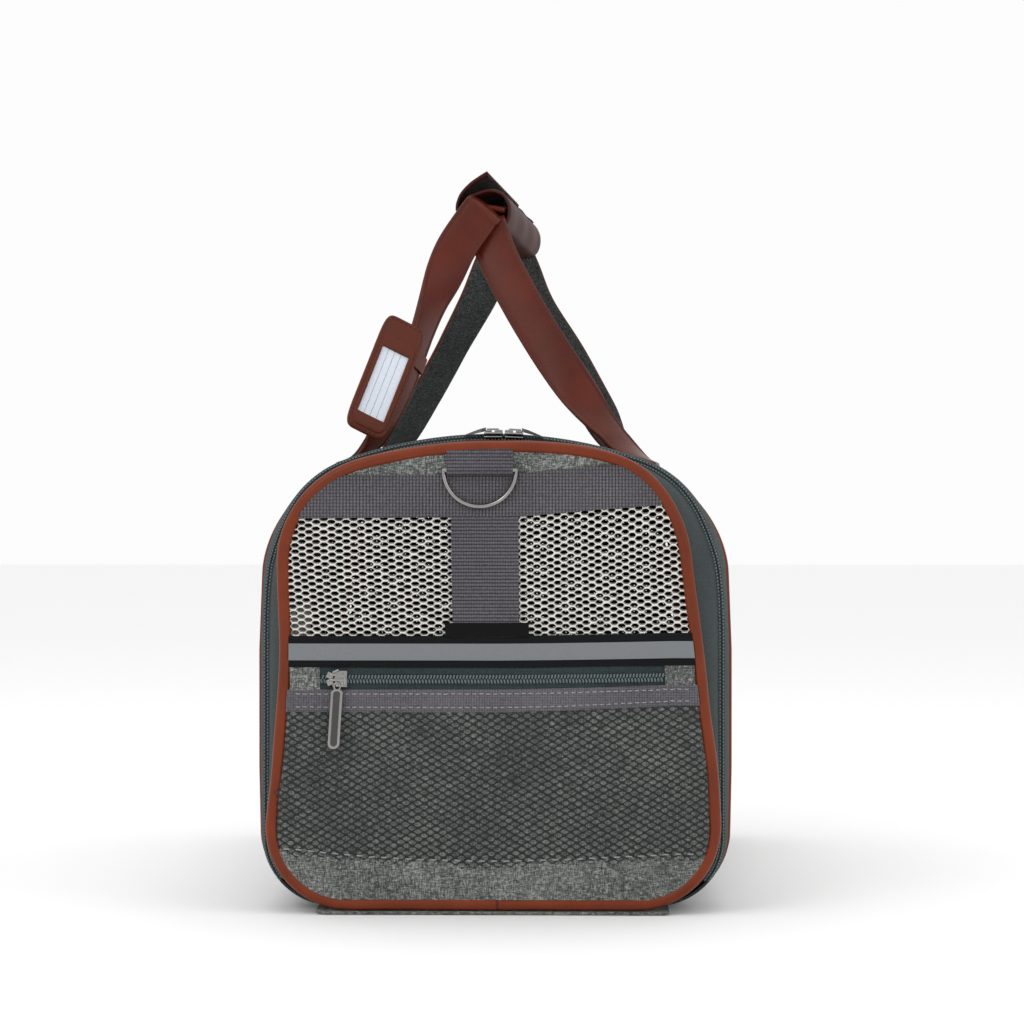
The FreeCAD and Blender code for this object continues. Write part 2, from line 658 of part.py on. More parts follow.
def make_tag():
    plate = plain_plate("tag_plate", "tag_length", "tag_width", "tag_thickness")
    doc.recompute()
    rounded = doc.addObject("Part::Fillet", "tag_rounded")
    rounded.Base = plate
    corner = value("tag_corner")
    upright = [number for number, edge in enumerate(plate.Shape.Edges, start=1)
               if abs(edge.Length - value("tag_thickness")) < 0.01]
    rounded.Edges = [(number, corner, corner) for number in upright]
    window = plain_plate("tag_window", "tag_window_length", "tag_window_width", "2 * tag_thickness", "0",
                         "tag_window_shift")
    piece(combine("Cut", "tag_frame", rounded, window), "tag_holder")
    piece(plain_plate("tag_inlay", "tag_window_length - 0.4", "tag_window_width - 0.4", "card_thickness", "0",
                      "tag_window_shift"), "tag_card")
    strap = plain_plate("tag_tie", "12", "14", "2", "-tag_thickness / 2 - 1.3", "tag_length / 2 - 7")
    piece(strap, "tag_strap")


make_base()
make_walls()
make_collars()
make_end_bands()
make_door_zip()
door_space = rim_space("door_space", -1)
make_end_face("door", -1, door_space, "mesh_low")
make_door_trims(door_space)
make_ring_and_loop("front", -1, door_space)
rear_space = rim_space("rear_space", 1)
make_end_face("rear", 1, rear_space, "pocket_zip_low")
make_ring_and_loop("rear", 1, rear_space)
make_pocket_slider()
make_door_sliders()
make_handles()
make_wrap()
make_tag()
doc.recompute()

for checked in doc.Objects:
    if "Invalid" in checked.State or "Error" in checked.State:
        raise RuntimeError(f"{checked.Label} failed: {checked.State}")
os.makedirs("parts", exist_ok=True)
for part in PIECES:
    if part.Shape.isNull() or not part.Shape.isValid() or part.Shape.Volume <= 0:
        raise RuntimeError(f"{part.Label} has no valid shape")
    part.Shape.exportStep(f"parts/{part.Label}.step")
    print(part.Label, len(part.Shape.Solids), round(part.Shape.Volume))
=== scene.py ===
"""Looks of the pet carrier bag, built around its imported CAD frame.

Metres. +X is to the right seen from the door end, -Y is the door end, +Z is up.
"""
import json
import math

import bmesh
import bpy
import numpy as np
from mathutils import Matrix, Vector


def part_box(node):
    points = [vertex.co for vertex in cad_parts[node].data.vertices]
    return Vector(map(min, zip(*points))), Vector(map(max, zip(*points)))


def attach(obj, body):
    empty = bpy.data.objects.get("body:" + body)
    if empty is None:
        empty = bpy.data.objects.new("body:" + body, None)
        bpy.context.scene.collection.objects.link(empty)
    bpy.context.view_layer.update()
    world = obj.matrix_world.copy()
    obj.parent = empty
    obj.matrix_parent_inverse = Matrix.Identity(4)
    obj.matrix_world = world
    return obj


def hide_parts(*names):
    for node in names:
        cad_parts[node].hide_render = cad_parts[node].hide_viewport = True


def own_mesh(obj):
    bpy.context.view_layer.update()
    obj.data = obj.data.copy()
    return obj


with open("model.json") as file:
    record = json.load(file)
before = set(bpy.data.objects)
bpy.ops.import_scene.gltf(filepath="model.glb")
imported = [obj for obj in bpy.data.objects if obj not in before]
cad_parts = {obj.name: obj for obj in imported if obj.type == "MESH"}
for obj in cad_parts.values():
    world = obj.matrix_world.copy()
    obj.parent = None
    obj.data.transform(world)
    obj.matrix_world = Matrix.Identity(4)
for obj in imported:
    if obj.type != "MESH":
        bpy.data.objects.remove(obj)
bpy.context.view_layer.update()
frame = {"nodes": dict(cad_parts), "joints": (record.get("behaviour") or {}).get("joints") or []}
draw = np.random.default_rng(11)
MM = 0.001

# Materials

def material_base(name):
    """A material with a Principled shader wired to its output."""
    material = bpy.data.materials.new(name)
    material.use_nodes = True
    tree = material.node_tree
    tree.nodes.clear()
    output = tree.nodes.new("ShaderNodeOutputMaterial")
    shader = tree.nodes.new("ShaderNodeBsdfPrincipled")
    tree.links.new(shader.outputs[0], output.inputs[0])
    return material, tree, shader


def coordinates(tree, scale):
    """Object coordinates in metres, multiplied by scale along each axis."""
    source = tree.nodes.new("ShaderNodeTexCoord")
    mapping = tree.nodes.new("ShaderNodeMapping")
    mapping.inputs["Scale"].default_value = scale
    tree.links.new(source.outputs["Object"], mapping.inputs["Vector"])
    return mapping.outputs[0]


def noise(tree, scale, detail=2.0, rough=0.5):
    """Cloudy noise from 0 to 1 over the object."""
    texture = tree.nodes.new("ShaderNodeTexNoise")
    texture.inputs["Scale"].default_value = 1.0
    texture.inputs["Detail"].default_value = detail
    texture.inputs["Roughness"].default_value = rough
    tree.links.new(coordinates(tree, scale), texture.inputs["Vector"])
    return texture.outputs["Fac"]


def wave(tree, scale, direction):
    """Sine bands whose count per metre is scale."""
    texture = tree.nodes.new("ShaderNodeTexWave")
    texture.bands_direction = direction
    texture.inputs["Scale"].default_value = 1.0
    full_turn = 2 * math.pi / 20
    tree.links.new(coordinates(tree, (scale * full_turn,) * 3), texture.inputs["Vector"])
    return texture.outputs["Fac"]


def mathed(tree, operation, first, second):
    """A Math node on two values."""
    node = tree.nodes.new("ShaderNodeMath")
    node.operation = operation
    for socket, value in zip(node.inputs, (first, second)):
        if isinstance(value, (int, float)):
            socket.default_value = value
        else:
            tree.links.new(value, socket)
    return node.outputs[0]


def ramp(tree, factor, stops):
    """Colour ramp through (position, colour) stops."""
    node = tree.nodes.new("ShaderNodeValToRGB")
    elements = node.color_ramp.elements
    while len(elements) < len(stops):
        elements.new(0.5)
    for element, (position, colour) in zip(elements, stops):
        element.position = position
        element.color = (*colour, 1)
    tree.links.new(factor, node.inputs[0])
    return node.outputs[0]


def multiplied(tree, first, second):
    """Two colours multiplied."""
    node = tree.nodes.new("ShaderNodeMix")
    node.data_type = "RGBA"
    node.blend_type = "MULTIPLY"
    node.inputs[0].default_value = 1.0
    tree.links.new(first, node.inputs[6])
    tree.links.new(second, node.inputs[7])
    return node.outputs[2]


def bump(tree, shader, height, distance, strength=1.0):
    """Small relief on the shader, from a height value."""
    node = tree.nodes.new("ShaderNodeBump")
    node.inputs["Distance"].default_value = distance
    node.inputs["Strength"].default_value = strength
    tree.links.new(height, node.inputs["Height"])
    tree.links.new(node.outputs[0], shader.inputs["Normal"])


def times(colour, factor):
    return tuple(channel * factor for channel in colour)


def heather(name, dark, middle, light, thread=0.0008):
    """Salt-and-pepper cloth: streaks of light and dark yarn both ways, over a fine weave."""
    material, tree, shader = material_base(name)
    fine, long = 1 / thread, 0.28 / thread
    across = noise(tree, (long, long, fine * 1.3), 3, 0.7)
    up = noise(tree, (fine * 1.3, fine * 1.3, long), 3, 0.7)
    speckle = mathed(tree, "ADD", mathed(tree, "MULTIPLY", across, 0.5), mathed(tree, "MULTIPLY", up, 0.5))
    cloud = noise(tree, (18, 18, 18), 2)
    shade = mathed(tree, "ADD", speckle, mathed(tree, "MULTIPLY", mathed(tree, "SUBTRACT", cloud, 0.5), 0.16))
    colour = ramp(tree, shade, ((0.38, dark), (0.5, middle), (0.62, light)))
    tree.links.new(colour, shader.inputs["Base Color"])
    weave = mathed(tree, "MULTIPLY", wave(tree, 1400, "DIAGONAL"), wave(tree, 1400, "Z"))
    bump(tree, shader, mathed(tree, "ADD", weave, speckle), 0.0003)
    shader.inputs["Roughness"].default_value = 0.92
    shader.inputs["Specular IOR Level"].default_value = 0.2
    shader.inputs["Sheen Weight"].default_value = 0.15
    return material


def plain_cloth(name, colour, thread_count=1300, spread=0.35, sheen=0.05, ribs=()):
    """Even woven cloth with a diagonal rib and a little variation.

    ribs: (axis, pitch, depth) of yarn ribs, with painted shade darkening the gaps between them; depth is how
    dark that painted shade gets.
    """
    material, tree, shader = material_base(name)
    mottle = noise(tree, (900, 900, 900), 3, 0.6)
    cloud = noise(tree, (14, 14, 14), 2)
    shade = mathed(tree, "ADD", mathed(tree, "MULTIPLY", mottle, 0.7), mathed(tree, "MULTIPLY", cloud, 0.3))
    stops = ((0.3, times(colour, 1 - spread)), (0.5, colour), (0.7, times(colour, 1 + spread)))
    dye_and_groove_shade = ramp(tree, shade, stops)
    # Painted shade: each rib entry darkens the colour in the grooves between the yarn ribs.
    for axis, pitch, depth in ribs:
        gap = ramp(tree, wave(tree, 1 / pitch, axis), ((0.05, (1 - depth,) * 3), (0.55, (1, 1, 1))))
        dye_and_groove_shade = multiplied(tree, dye_and_groove_shade, gap)
    tree.links.new(dye_and_groove_shade, shader.inputs["Base Color"])
    weave = mathed(tree, "ADD", wave(tree, thread_count, "DIAGONAL"), wave(tree, thread_count, "Z"))
    bump(tree, shader, mathed(tree, "ADD", weave, mottle), 0.00016)
    shader.inputs["Roughness"].default_value = 0.88
    shader.inputs["Specular IOR Level"].default_value = 0.2
    shader.inputs["Sheen Weight"].default_value = sheen
    return material


def leather(name, colour, roughness=0.4, grain=0.5):
    """Smooth coated hide: fine pebble grain, cloudy colour, slightly worn high spots."""
    material, tree, shader = material_base(name)
    cloud = noise(tree, (30, 30, 30), 4, 0.6)
    pores = noise(tree, (1500, 1500, 1500), 2)
    shade = mathed(tree, "ADD", mathed(tree, "MULTIPLY", cloud, 0.75), mathed(tree, "MULTIPLY", pores, 0.25))
    stops = ((0.3, times(colour, 0.72)), (0.52, colour), (0.75, times(colour, 1.3)))
    tree.links.new(ramp(tree, shade, stops), shader.inputs["Base Color"])
    pebbles = tree.nodes.new("ShaderNodeTexVoronoi")
    pebbles.inputs["Scale"].default_value = 1.0
    tree.links.new(coordinates(tree, (1100, 1100, 1100)), pebbles.inputs["Vector"])
    bump(tree, shader, mathed(tree, "ADD", pebbles.outputs["Distance"], pores), 0.00012, grain)
    shader.inputs["Specular IOR Level"].default_value = 0.22
    gloss = mathed(tree, "ADD", roughness - 0.08, mathed(tree, "MULTIPLY", cloud, 0.16))
    tree.links.new(gloss, shader.inputs["Roughness"])
    return material


def metal(name, colour, roughness=0.12):
    """Polished plated metal with faint handling marks."""
    material, tree, shader = material_base(name)
    marks = noise(tree, (700, 700, 700), 3, 0.6)
    stops = ((0.3, times(colour, 0.86)), (0.7, colour))
    tree.links.new(ramp(tree, marks, stops), shader.inputs["Base Color"])
    gloss = mathed(tree, "ADD", roughness, mathed(tree, "MULTIPLY", marks, 0.12))
    tree.links.new(gloss, shader.inputs["Roughness"])
    shader.inputs["Metallic"].default_value = 1.0
    return material


def moulded(name, colour, roughness=0.5, spread=0.2, sheen=0.0):
    """Plastic, thread or tape: one colour with slight mottling and a fine texture."""
    material, tree, shader = material_base(name)
    mottle = noise(tree, (1200, 1200, 1200), 2)
    stops = ((0.35, times(colour, 1 - spread)), (0.65, times(colour, 1 + spread)))
    tree.links.new(ramp(tree, mottle, stops), shader.inputs["Base Color"])
    bump(tree, shader, mottle, 0.00006)
    shader.inputs["Roughness"].default_value = roughness
    shader.inputs["Sheen Weight"].default_value = sheen
    return material


def ruled_card():
    """White card printed with plain grey rules along its length."""
    material, tree, shader = material_base("ruled_card")
    fibre = noise(tree, (900, 900, 900), 3)
    stops = ((0.3, (0.66, 0.71, 0.80)), (0.7, (0.76, 0.80, 0.88)))
    tree.links.new(ramp(tree, fibre, stops), shader.inputs["Base Color"])
    bump(tree, shader, fibre, 0.00003)
    shader.inputs["Roughness"].default_value = 0.55
    return material


HEATHER = heather("heather", (0.022, 0.025, 0.024), (0.108, 0.117, 0.111), (0.36, 0.37, 0.34))
# The pocket's heather is a lighter copy of the heather: the heather pattern is the cloth's own, and the extra
# lightness is painted highlight for the glints on the cloth behind the pocket net.
LIT_POCKET_CLOTH = heather("pocket_cloth_painted_highlight", (0.045, 0.051, 0.049), (0.165, 0.178, 0.170), (0.44, 0.45, 0.42))
HEATHER_DARK = heather("heather_dark", (0.008, 0.010, 0.009), (0.034, 0.040, 0.039), (0.085, 0.094, 0.092))
DARK_CLOTH = plain_cloth("dark_cloth", (0.042, 0.052, 0.052))
INNER_CLOTH = plain_cloth("inner_cloth", (0.04, 0.042, 0.04))
# The rib entries below darken the colour between the ribs: painted shade in the grooves, on top of each
# cloth's own colour.
BAND_WEBBING = plain_cloth("band_webbing", (0.130, 0.124, 0.136), 900, 0.45, 0.05,
                           (("X", 1.9 * MM, 0.6), ("Z", 1.9 * MM, 0.4)))
WEBBING = plain_cloth("webbing_yarn", (0.112, 0.106, 0.120), 900, 0.45, 0.05,
                      (("Z", 2.0 * MM, 0.65), ("X", 1.5 * MM, 0.3)))
BINDING = plain_cloth("binding_yarn", (0.128, 0.122, 0.138), 900, 0.4, 0.05,
                      (("X", 1.5 * MM, 0.35), ("Z", 1.5 * MM, 0.25)))
BINDING_THREAD = moulded("binding_thread", (0.26, 0.25, 0.26), 0.7)
WHITE_MESH = moulded("white_mesh", (0.74, 0.72, 0.67), 0.75, 0.08, 0.1)
# Painted shade: the air mesh's hole walls and lower layer are the same white yarn as its face; this grey
# stands for the shade inside the holes.
MESH_HOLE_SHADE = plain_cloth("mesh_hole_painted_shade", (0.27, 0.265, 0.25), 1100, 0.3)
# Painted shade: a near black lower layer, its holes almost closed, stands in for the shaded inside of the bag
# seen through the far end's mesh.
REAR_MESH_HOLE_SHADE = plain_cloth("rear_mesh_hole_painted_shade", (0.02, 0.02, 0.02), 1100, 0.3)
BLACK_NET = moulded("black_net", (0.0035, 0.0045, 0.005), 0.6, 0.12)
PIPING_HIDE = leather("piping_hide", (0.155, 0.024, 0.0045), 0.38, 0.32)
STRAP_HIDE = leather("strap_hide", (0.088, 0.0115, 0.0035), 0.38, 0.5)
TAG_HIDE = leather("tag_hide", (0.100, 0.0165, 0.0045), 0.42, 0.6)
WRAP_HIDE = leather("wrap_hide", (0.040, 0.0052, 0.0020), 0.55, 0.3)
HIDE_EDGE = leather("hide_edge", (0.075, 0.012, 0.006), 0.6, 0.3)
HIDE_THREAD = moulded("hide_thread", (0.035, 0.009, 0.006), 0.6)
VELCRO = plain_cloth("velcro", (0.012, 0.006, 0.004), 700, 0.6, 0.0)
REFLECTIVE = moulded("reflective", (0.155, 0.165, 0.176), 0.4, 0.05)
BLACK_TAPE = plain_cloth("black_tape", (0.003, 0.0045, 0.005), 1200, 0.3, 0.05)
LABEL = plain_cloth("label_satin", (0.003, 0.003, 0.0035), 1500, 0.2, 0.0)
ZIP_TAPE = plain_cloth("zip_tape", (0.028, 0.042, 0.043), 1100, 0.35)
ZIP_TEETH = moulded("zip_teeth", (0.085, 0.110, 0.115), 0.34, 0.15)
# Painted reflection: the plated metal's colour is darkened below its own to stand in for the dark surroundings
# that its polish reflects.
DARKENED_CHROME = metal("chrome_painted_dark_reflection", (0.30, 0.295, 0.285), 0.1)
DARK_METAL = moulded("dark_metal", (0.035, 0.033, 0.032), 0.3)
CARD = ruled_card()
CARD_INK = moulded("card_ink", (0.36, 0.40, 0.46), 0.6)
FLEECE = plain_cloth("fleece_pile", (0.60, 0.56, 0.48), 600, 0.25, 0.5)
BOARD = moulded("board_cover", (0.03, 0.03, 0.032), 0.7)
WIRE = metal("spring_wire", (0.45, 0.45, 0.45), 0.3)
FLOOR = moulded("floor_paper", (0.93, 0.93, 0.93), 0.9, 0.01)

# Meshes

def make(name, vertices, faces, material, body, sharp=40):
    """Put a mesh in the scene on a CAD body."""
    mesh = bpy.data.meshes.new(name)
    mesh.from_pydata(np.asarray(vertices, float).tolist(), [], [list(map(int, face)) for face in faces])
    mesh.polygons.foreach_set("use_smooth", [True] * len(mesh.polygons))
    mesh.materials.append(material)
    mesh.update()
    mesh.set_sharp_from_angle(angle=math.radians(sharp))
    thing = bpy.data.objects.new(name, mesh)
    bpy.context.scene.collection.objects.link(thing)
    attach(thing, body)
    return thing


def grid_faces(rows, columns, closed_rows=False, closed_columns=False):
    """Quads over a rows x columns grid of points."""
    row = np.arange(rows if closed_rows else rows - 1)
    column = np.arange(columns if closed_columns else columns - 1)
    a, b = np.meshgrid(row, column, indexing="ij")
    a, b = a.ravel(), b.ravel()
    after_a, after_b = (a + 1) % rows, (b + 1) % columns
    return np.stack([a * columns + b, after_a * columns + b, after_a * columns + after_b,
                     a * columns + after_b], axis=1)


def slab(outer, inner, closed_rows=False):
    """Closed skin between two grids (rows, columns, 3) of matching points."""
    rows, columns = outer.shape[:2]
    loop = np.concatenate([outer, inner[:, ::-1]], axis=1)
    faces = [grid_faces(rows, 2 * columns, closed_rows, True)]
    vertices = loop.reshape(-1, 3)
    if not closed_rows:
        for end in (0, rows - 1):
            strip = []
            base = end * 2 * columns
            for column in range(columns - 1):
                strip.append([base + column, base + column + 1, base + 2 * columns - 2 - column,
                              base + 2 * columns - 1 - column])
            strip = np.array(strip)
            faces.append(strip if end == 0 else strip[:, ::-1])
    return vertices, np.concatenate(faces)


def tidy_normals(thing):
    """Point every face outward."""
    work = bmesh.new()
    work.from_mesh(thing.data)
    bmesh.ops.recalc_face_normals(work, faces=work.faces)
    work.to_mesh(thing.data)
    work.free()
    return thing


def unit(vectors):
    """Vectors brought to length one."""
    return vectors / np.maximum(np.linalg.norm(vectors, axis=-1, keepdims=True), 1e-12)


def tube(name, path, radius, material, body, closed=False, sides=14, squeeze=None):
    """A round bar along the points."""
    path = np.asarray(path, float)
    ahead, behind = np.roll(path, -1, 0), np.roll(path, 1, 0)
    if not closed:
        ahead[-1], behind[0] = path[-1], path[0]
    along = unit(ahead - behind)
    side = unit(np.cross(along, np.where(np.abs(along[:, [1]]) > 0.9, (0, 0, 1.0), (0, 1.0, 0))))
    up = np.cross(side, along)
    angle = np.arange(sides) * 2 * math.pi / sides
    size = radius if squeeze is None else radius * squeeze[:, None, None]
    ring = (np.cos(angle)[None, :, None] * side[:, None] + np.sin(angle)[None, :, None] * up[:, None]) * size
    vertices = (path[:, None] + ring).reshape(-1, 3)
    faces = grid_faces(len(path), sides, closed, True).tolist()
    if not closed:
        last = (len(path) - 1) * sides
        faces.append(list(range(sides)))
        faces.append([last + sides - 1 - index for index in range(sides)])
    return tidy_normals(make(name, vertices, faces, material, body, 60))


def capsules(name, centres, along, up, length, radius, material, body, flat=1.0, sides=6):
    """Small round-ended rods, one at each centre, as one piece."""
    centres, along, up = (np.asarray(v, float) for v in (centres, along, up))
    along = unit(along)
    side = unit(np.cross(along, up))
    up = np.cross(side, along)
    ends = np.array([-0.5, -0.5, -0.5, 0.5, 0.5, 0.5]) * length + np.array([0, 0.3, 1, -1, -0.3, 0]) * radius
    widths = np.array([0.3, 0.8, 1, 1, 0.8, 0.3]) * radius
    angle = np.arange(sides) * 2 * math.pi / sides
    ring = (np.cos(angle)[None, :, None] * side[:, None] + flat * np.sin(angle)[None, :, None] * up[:, None])
    points = (centres[:, None, None] + ends[None, :, None, None] * along[:, None, None]
              + widths[None, :, None, None] * ring[:, None])
    count = len(centres)
    per = 6 * sides
    one = grid_faces(6, sides, False, True).tolist()
    caps = [list(range(sides)), [5 * sides + sides - 1 - index for index in range(sides)]]
    faces = [[corner + item * per for corner in face] for item in range(count) for face in one + caps]
    return tidy_normals(make(name, points.reshape(-1, 3), faces, material, body, 60))


def profile_sweep(name, centres, widths, normals, profile, material, body, sharp=50, closed=True):
    """A cross-section of (across, outward) points carried along a line of stations."""
    profile = np.asarray(profile, float)
    points = (centres[:, None] + profile[None, :, [0]] * widths[:, None]
              + profile[None, :, [1]] * normals[:, None])
    rows, columns = points.shape[:2]
    faces = grid_faces(rows, columns, False, closed).tolist()
    faces.append(list(range(columns)))
    faces.append([(rows - 1) * columns + columns - 1 - index for index in range(columns)])
    return tidy_normals(make(name, points.reshape(-1, 3), faces, material, body, sharp))


def smooth_path(points, count):
    """Catmull-Rom curve through the points, evenly stepped by index."""
    points = np.asarray(points, float)
    padded = np.concatenate([[2 * points[0] - points[1]], points, [2 * points[-1] - points[-2]]])
    place = np.linspace(0, len(points) - 1 - 1e-9, count)
    index = place.astype(int)
    t = (place - index)[:, None]
    p0, p1, p2, p3 = (padded[index + shift] for shift in range(4))
    return 0.5 * (2 * p1 + (p2 - p0) * t + (2 * p0 - 5 * p1 + 4 * p2 - p3) * t ** 2
                  + (3 * p1 - p0 - 3 * p2 + p3) * t ** 3)


def even_path(points, step, closed=False):
    """The same line with points a step apart, and how far along each one is."""
    points = np.asarray(points, float)
    if closed:
        points = np.concatenate([points, points[:1]])
    lengths = np.concatenate([[0], np.cumsum(np.linalg.norm(np.diff(points, axis=0), axis=1))])
    count = max(2, round(lengths[-1] / step))
    places = np.linspace(0, lengths[-1], count + (0 if closed else 1), endpoint=not closed)
    spots = [np.interp(places, lengths, points[:, axis]) for axis in range(points.shape[1])]
    return np.stack(spots, 1), places


# The bag's outlines, seen from the door end

class Outline:
    """Flat floor, round lower corners, sides, wider upper corners and an arched crown."""

    def __init__(self, low_half, top_half, low, top, crown, floor, height):
        self.floor, self.height = floor, height
        low_centre = np.array([low_half - low, floor + low])
        crown_centre = np.array([0, height - crown])
        top_x = top_half - top
        top_centre = np.array([top_x, crown_centre[1] + math.sqrt((crown - top) ** 2 - top_x ** 2)])
        along = top_centre - low_centre
        share = (low - top) / np.linalg.norm(along)
        along = along / np.linalg.norm(along)
        side = along * share + np.array([along[1], -along[0]]) * math.sqrt(1 - share ** 2)
        side_angle = math.atan2(side[1], side[0])
        lean = top_centre - crown_centre
        shoulder = math.atan2(lean[1], lean[0])
        points, normals = [], []
        for x in np.linspace(0, low_centre[0], 30)[:-1]:
            points.append((x, floor))
            normals.append((0, -1))
        for centre, radius, start, end, count in (
                (low_centre, low, -math.pi / 2, side_angle, 40), (top_centre, top, side_angle, shoulder, 50),
                (crown_centre, crown, shoulder, math.pi / 2, 60)):
            for angle in np.linspace(start, end, count):
                normal = np.array([math.cos(angle), math.sin(angle)])
                points.append(centre + radius * normal)
                normals.append(normal)
        points, normals = np.array(points), np.array(normals)
        steps = np.concatenate([[0], np.cumsum(np.linalg.norm(np.diff(points, axis=0), axis=1))])
        self.half_length = steps[-1]
        self.steps, self.points, self.normals = steps, points, normals

    def at(self, place, inset=0.0):
        """Points and normals at signed distances round the outline: 0 at the middle of the floor,
        positive up the right side, and half_length at the top of the crown."""
        place = np.asarray(place, float)
        sign = np.where(place < 0, -1.0, 1.0)
        across = [np.interp(np.abs(place), self.steps, part) for part in (self.points[:, 0],
                                                                         self.points[:, 1],
                                                                         self.normals[:, 0],
                                                                         self.normals[:, 1])]
        normal = unit(np.stack([across[2] * sign, across[3]], -1))
        point = np.stack([across[0] * sign, across[1]], -1) - normal * np.asarray(inset)[..., None]
        return point, normal

    def round(self, count):
        """Even places for a closed ring, from the floor's middle up the right side."""
        return np.linspace(-self.half_length, self.half_length, count, endpoint=False)

    def half_width(self, height, inset=0.0):
        """How far the outline reaches from the middle at that height."""
        inner = self.points - self.normals * inset
        return np.interp(height, inner[29:, 1], inner[29:, 0])

    def place_of(self, height=None, x=None):
        """Distance round to a height on the side, or to an x on the crown."""
        if x is None:
            return float(np.interp(height, self.points[29:, 1], self.steps[29:]))
        crown = slice(150, None)
        return float(np.interp(-abs(x), -self.points[crown, 0], self.steps[crown]))


piping_low, piping_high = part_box("door_piping")
collar_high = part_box("front_collar")[1]
PIPING = 3.5 * MM
CLOTH_INSET = 0.6 * MM
RIM = Outline(127 * MM, 116 * MM, 44 * MM, 62 * MM, 260 * MM, piping_low.z + PIPING, piping_high.z - PIPING)
HULL = Outline(collar_high.x + CLOTH_INSET, collar_high.x + CLOTH_INSET, 42 * MM, 72 * MM, 270 * MM, 0.0,
               collar_high.z + CLOTH_INSET)
RIM_STATION = piping_high.y * -1 + PIPING
FACE = -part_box("door_top_panel")[0].y
ZIP_STATION = 206 * MM


def eased(value, start, end):
    """0 before start, 1 after end, smooth between."""
    share = np.clip((value - start) / (end - start), 0, 1)
    return share * share * (3 - 2 * share)


DOOR_LEAN = 5.2 * MM
FOOT_BULGE = 1.1 * MM
LEFT_PINCH = 2.6 * MM
RIGHT_PINCH = 1.2 * MM
SHOULDER_LIFT = 3.4 * MM


def slump(points):
    """The door's upper half leans to the left, its sides draw in and its right shoulder is pushed up."""
    points = np.array(points, float)
    x, z = points[..., 0].copy(), points[..., 2].copy()
    edge = np.clip(np.abs(x) / 0.1, 0, 1)
    lean = -DOOR_LEAN * eased(z, 0.108, 0.215) + FOOT_BULGE * np.exp(-((z - 0.080) / 0.025) ** 2)
    left_pinch = LEFT_PINCH * np.exp(-((z - 0.150) / 0.044) ** 2)
    right_pinch = -RIGHT_PINCH * np.exp(-((z - 0.120) / 0.030) ** 2)
    pinch = np.where(x < 0, left_pinch, right_pinch)
    points[..., 0] = x + edge * (lean + pinch)
    points[..., 2] = z + SHOULDER_LIFT * eased(x, 0.0, 0.07) * eased(z, 0.205, 0.25)
    return points


def cloth_wave(a, b, size=0.5 * MM):
    """Gentle unevenness of sewn cloth."""
    return size * (np.sin(a * 61 + 1.3 * np.sin(b * 43)) * np.sin(b * 57 + 0.7) * 0.6
                   + np.sin(a * 143 + b * 97) * 0.4)


def ring_points(form, station, inset, count, shape=None):
    """One turn round an outline at a station along the bag."""
    point, normal = form.at(form.round(count), inset)
    ring = np.stack([point[:, 0], np.full(count, station), point[:, 1]], 1)
    return shape(ring) if shape else ring


# Ends of the bag

def end_point(sign, x, z, depth):
    """A point on an end face; depth is outward. sign is -1 for the door end."""
    x, z, depth = np.broadcast_arrays(x, z, depth)
    points = np.stack([x, sign * (FACE + depth), z], -1)
    return slump(points) if sign < 0 else points


def edge_line(left, middle, right):
    """Height of a sewn edge across the face: level on the left, rising to the right."""
    def height(x):
        x = np.asarray(x, float)
        return middle + (left - middle) * np.clip(-x / 0.115, 0, 1) ** 2 + (right - middle) * np.clip(
            x / 0.105, 0, 1) ** 1.5
    return height


def face_strip(name, sign, low, high, depth, thickness, material, body, span=None, columns=80, rows=8,
               relief=None, roll=0.0, wavy=0.35 * MM):
    """A cloth strip over an end face between two sewn edges, inside the piping or across a span."""
    u = np.linspace(-1, 1, columns)
    v = np.linspace(0, 1, rows)
    if span:
        x = np.broadcast_to(np.linspace(span[0], span[1], columns)[:, None], (columns, rows)).copy()
        z = low(x) + (high(x) - low(x)) * v
    else:
        top = RIM.height - 2.5 * MM
        x = np.zeros((columns, rows))
        for _ in range(3):
            z = np.clip(low(x) + (high(x) - low(x)) * v, RIM.floor + 2.5 * MM, top)
            x = u[:, None] * RIM.half_width(z, 2.2 * MM)
    edge = np.minimum(v, 1 - v) * (high(x) - low(x))
    rolled = -roll * np.exp(-(edge / (0.8 * MM)) ** 2)
    depth_here = depth + cloth_wave(x, z, wavy) + rolled
    if relief is not None:
        depth_here = depth_here + relief(x, z)
    outer = end_point(sign, x, z, depth_here)
    inner = end_point(sign, x, z, depth_here - thickness)
    vertices, faces = slab(outer, inner)
    return tidy_normals(make(name, vertices, faces, material, body))


def ribs(pitch, size, vertical=True):
    """Woven ribs across or along the strip, broken into short floats."""
    def relief(x, z):
        line, other = (x, z) if vertical else (z, x)
        return size * (np.abs(np.sin(math.pi * line / pitch)) - 0.5) + 0.25 * size * np.sin(
            2 * math.pi * other / (pitch * 0.9) + math.pi * np.floor(line / pitch))
    return relief


def stitch_row(name, sign, span, height, depth, body, material, length=2.6 * MM, gap=1.5 * MM,
               radius=0.32 * MM):
    """Running stitches along a level line of an end face."""
    x = np.arange(span[0], span[1], length + gap)
    z = height(x) + draw.normal(0, 0.06 * MM, len(x))
    centres = end_point(sign, x, z, depth)
    after = end_point(sign, x + 0.001, height(x + 0.001), depth)
    return capsules(name, centres, after - centres, np.tile((0, float(sign), 0), (len(x), 1)), length, radius,
                    material, body, 0.6)


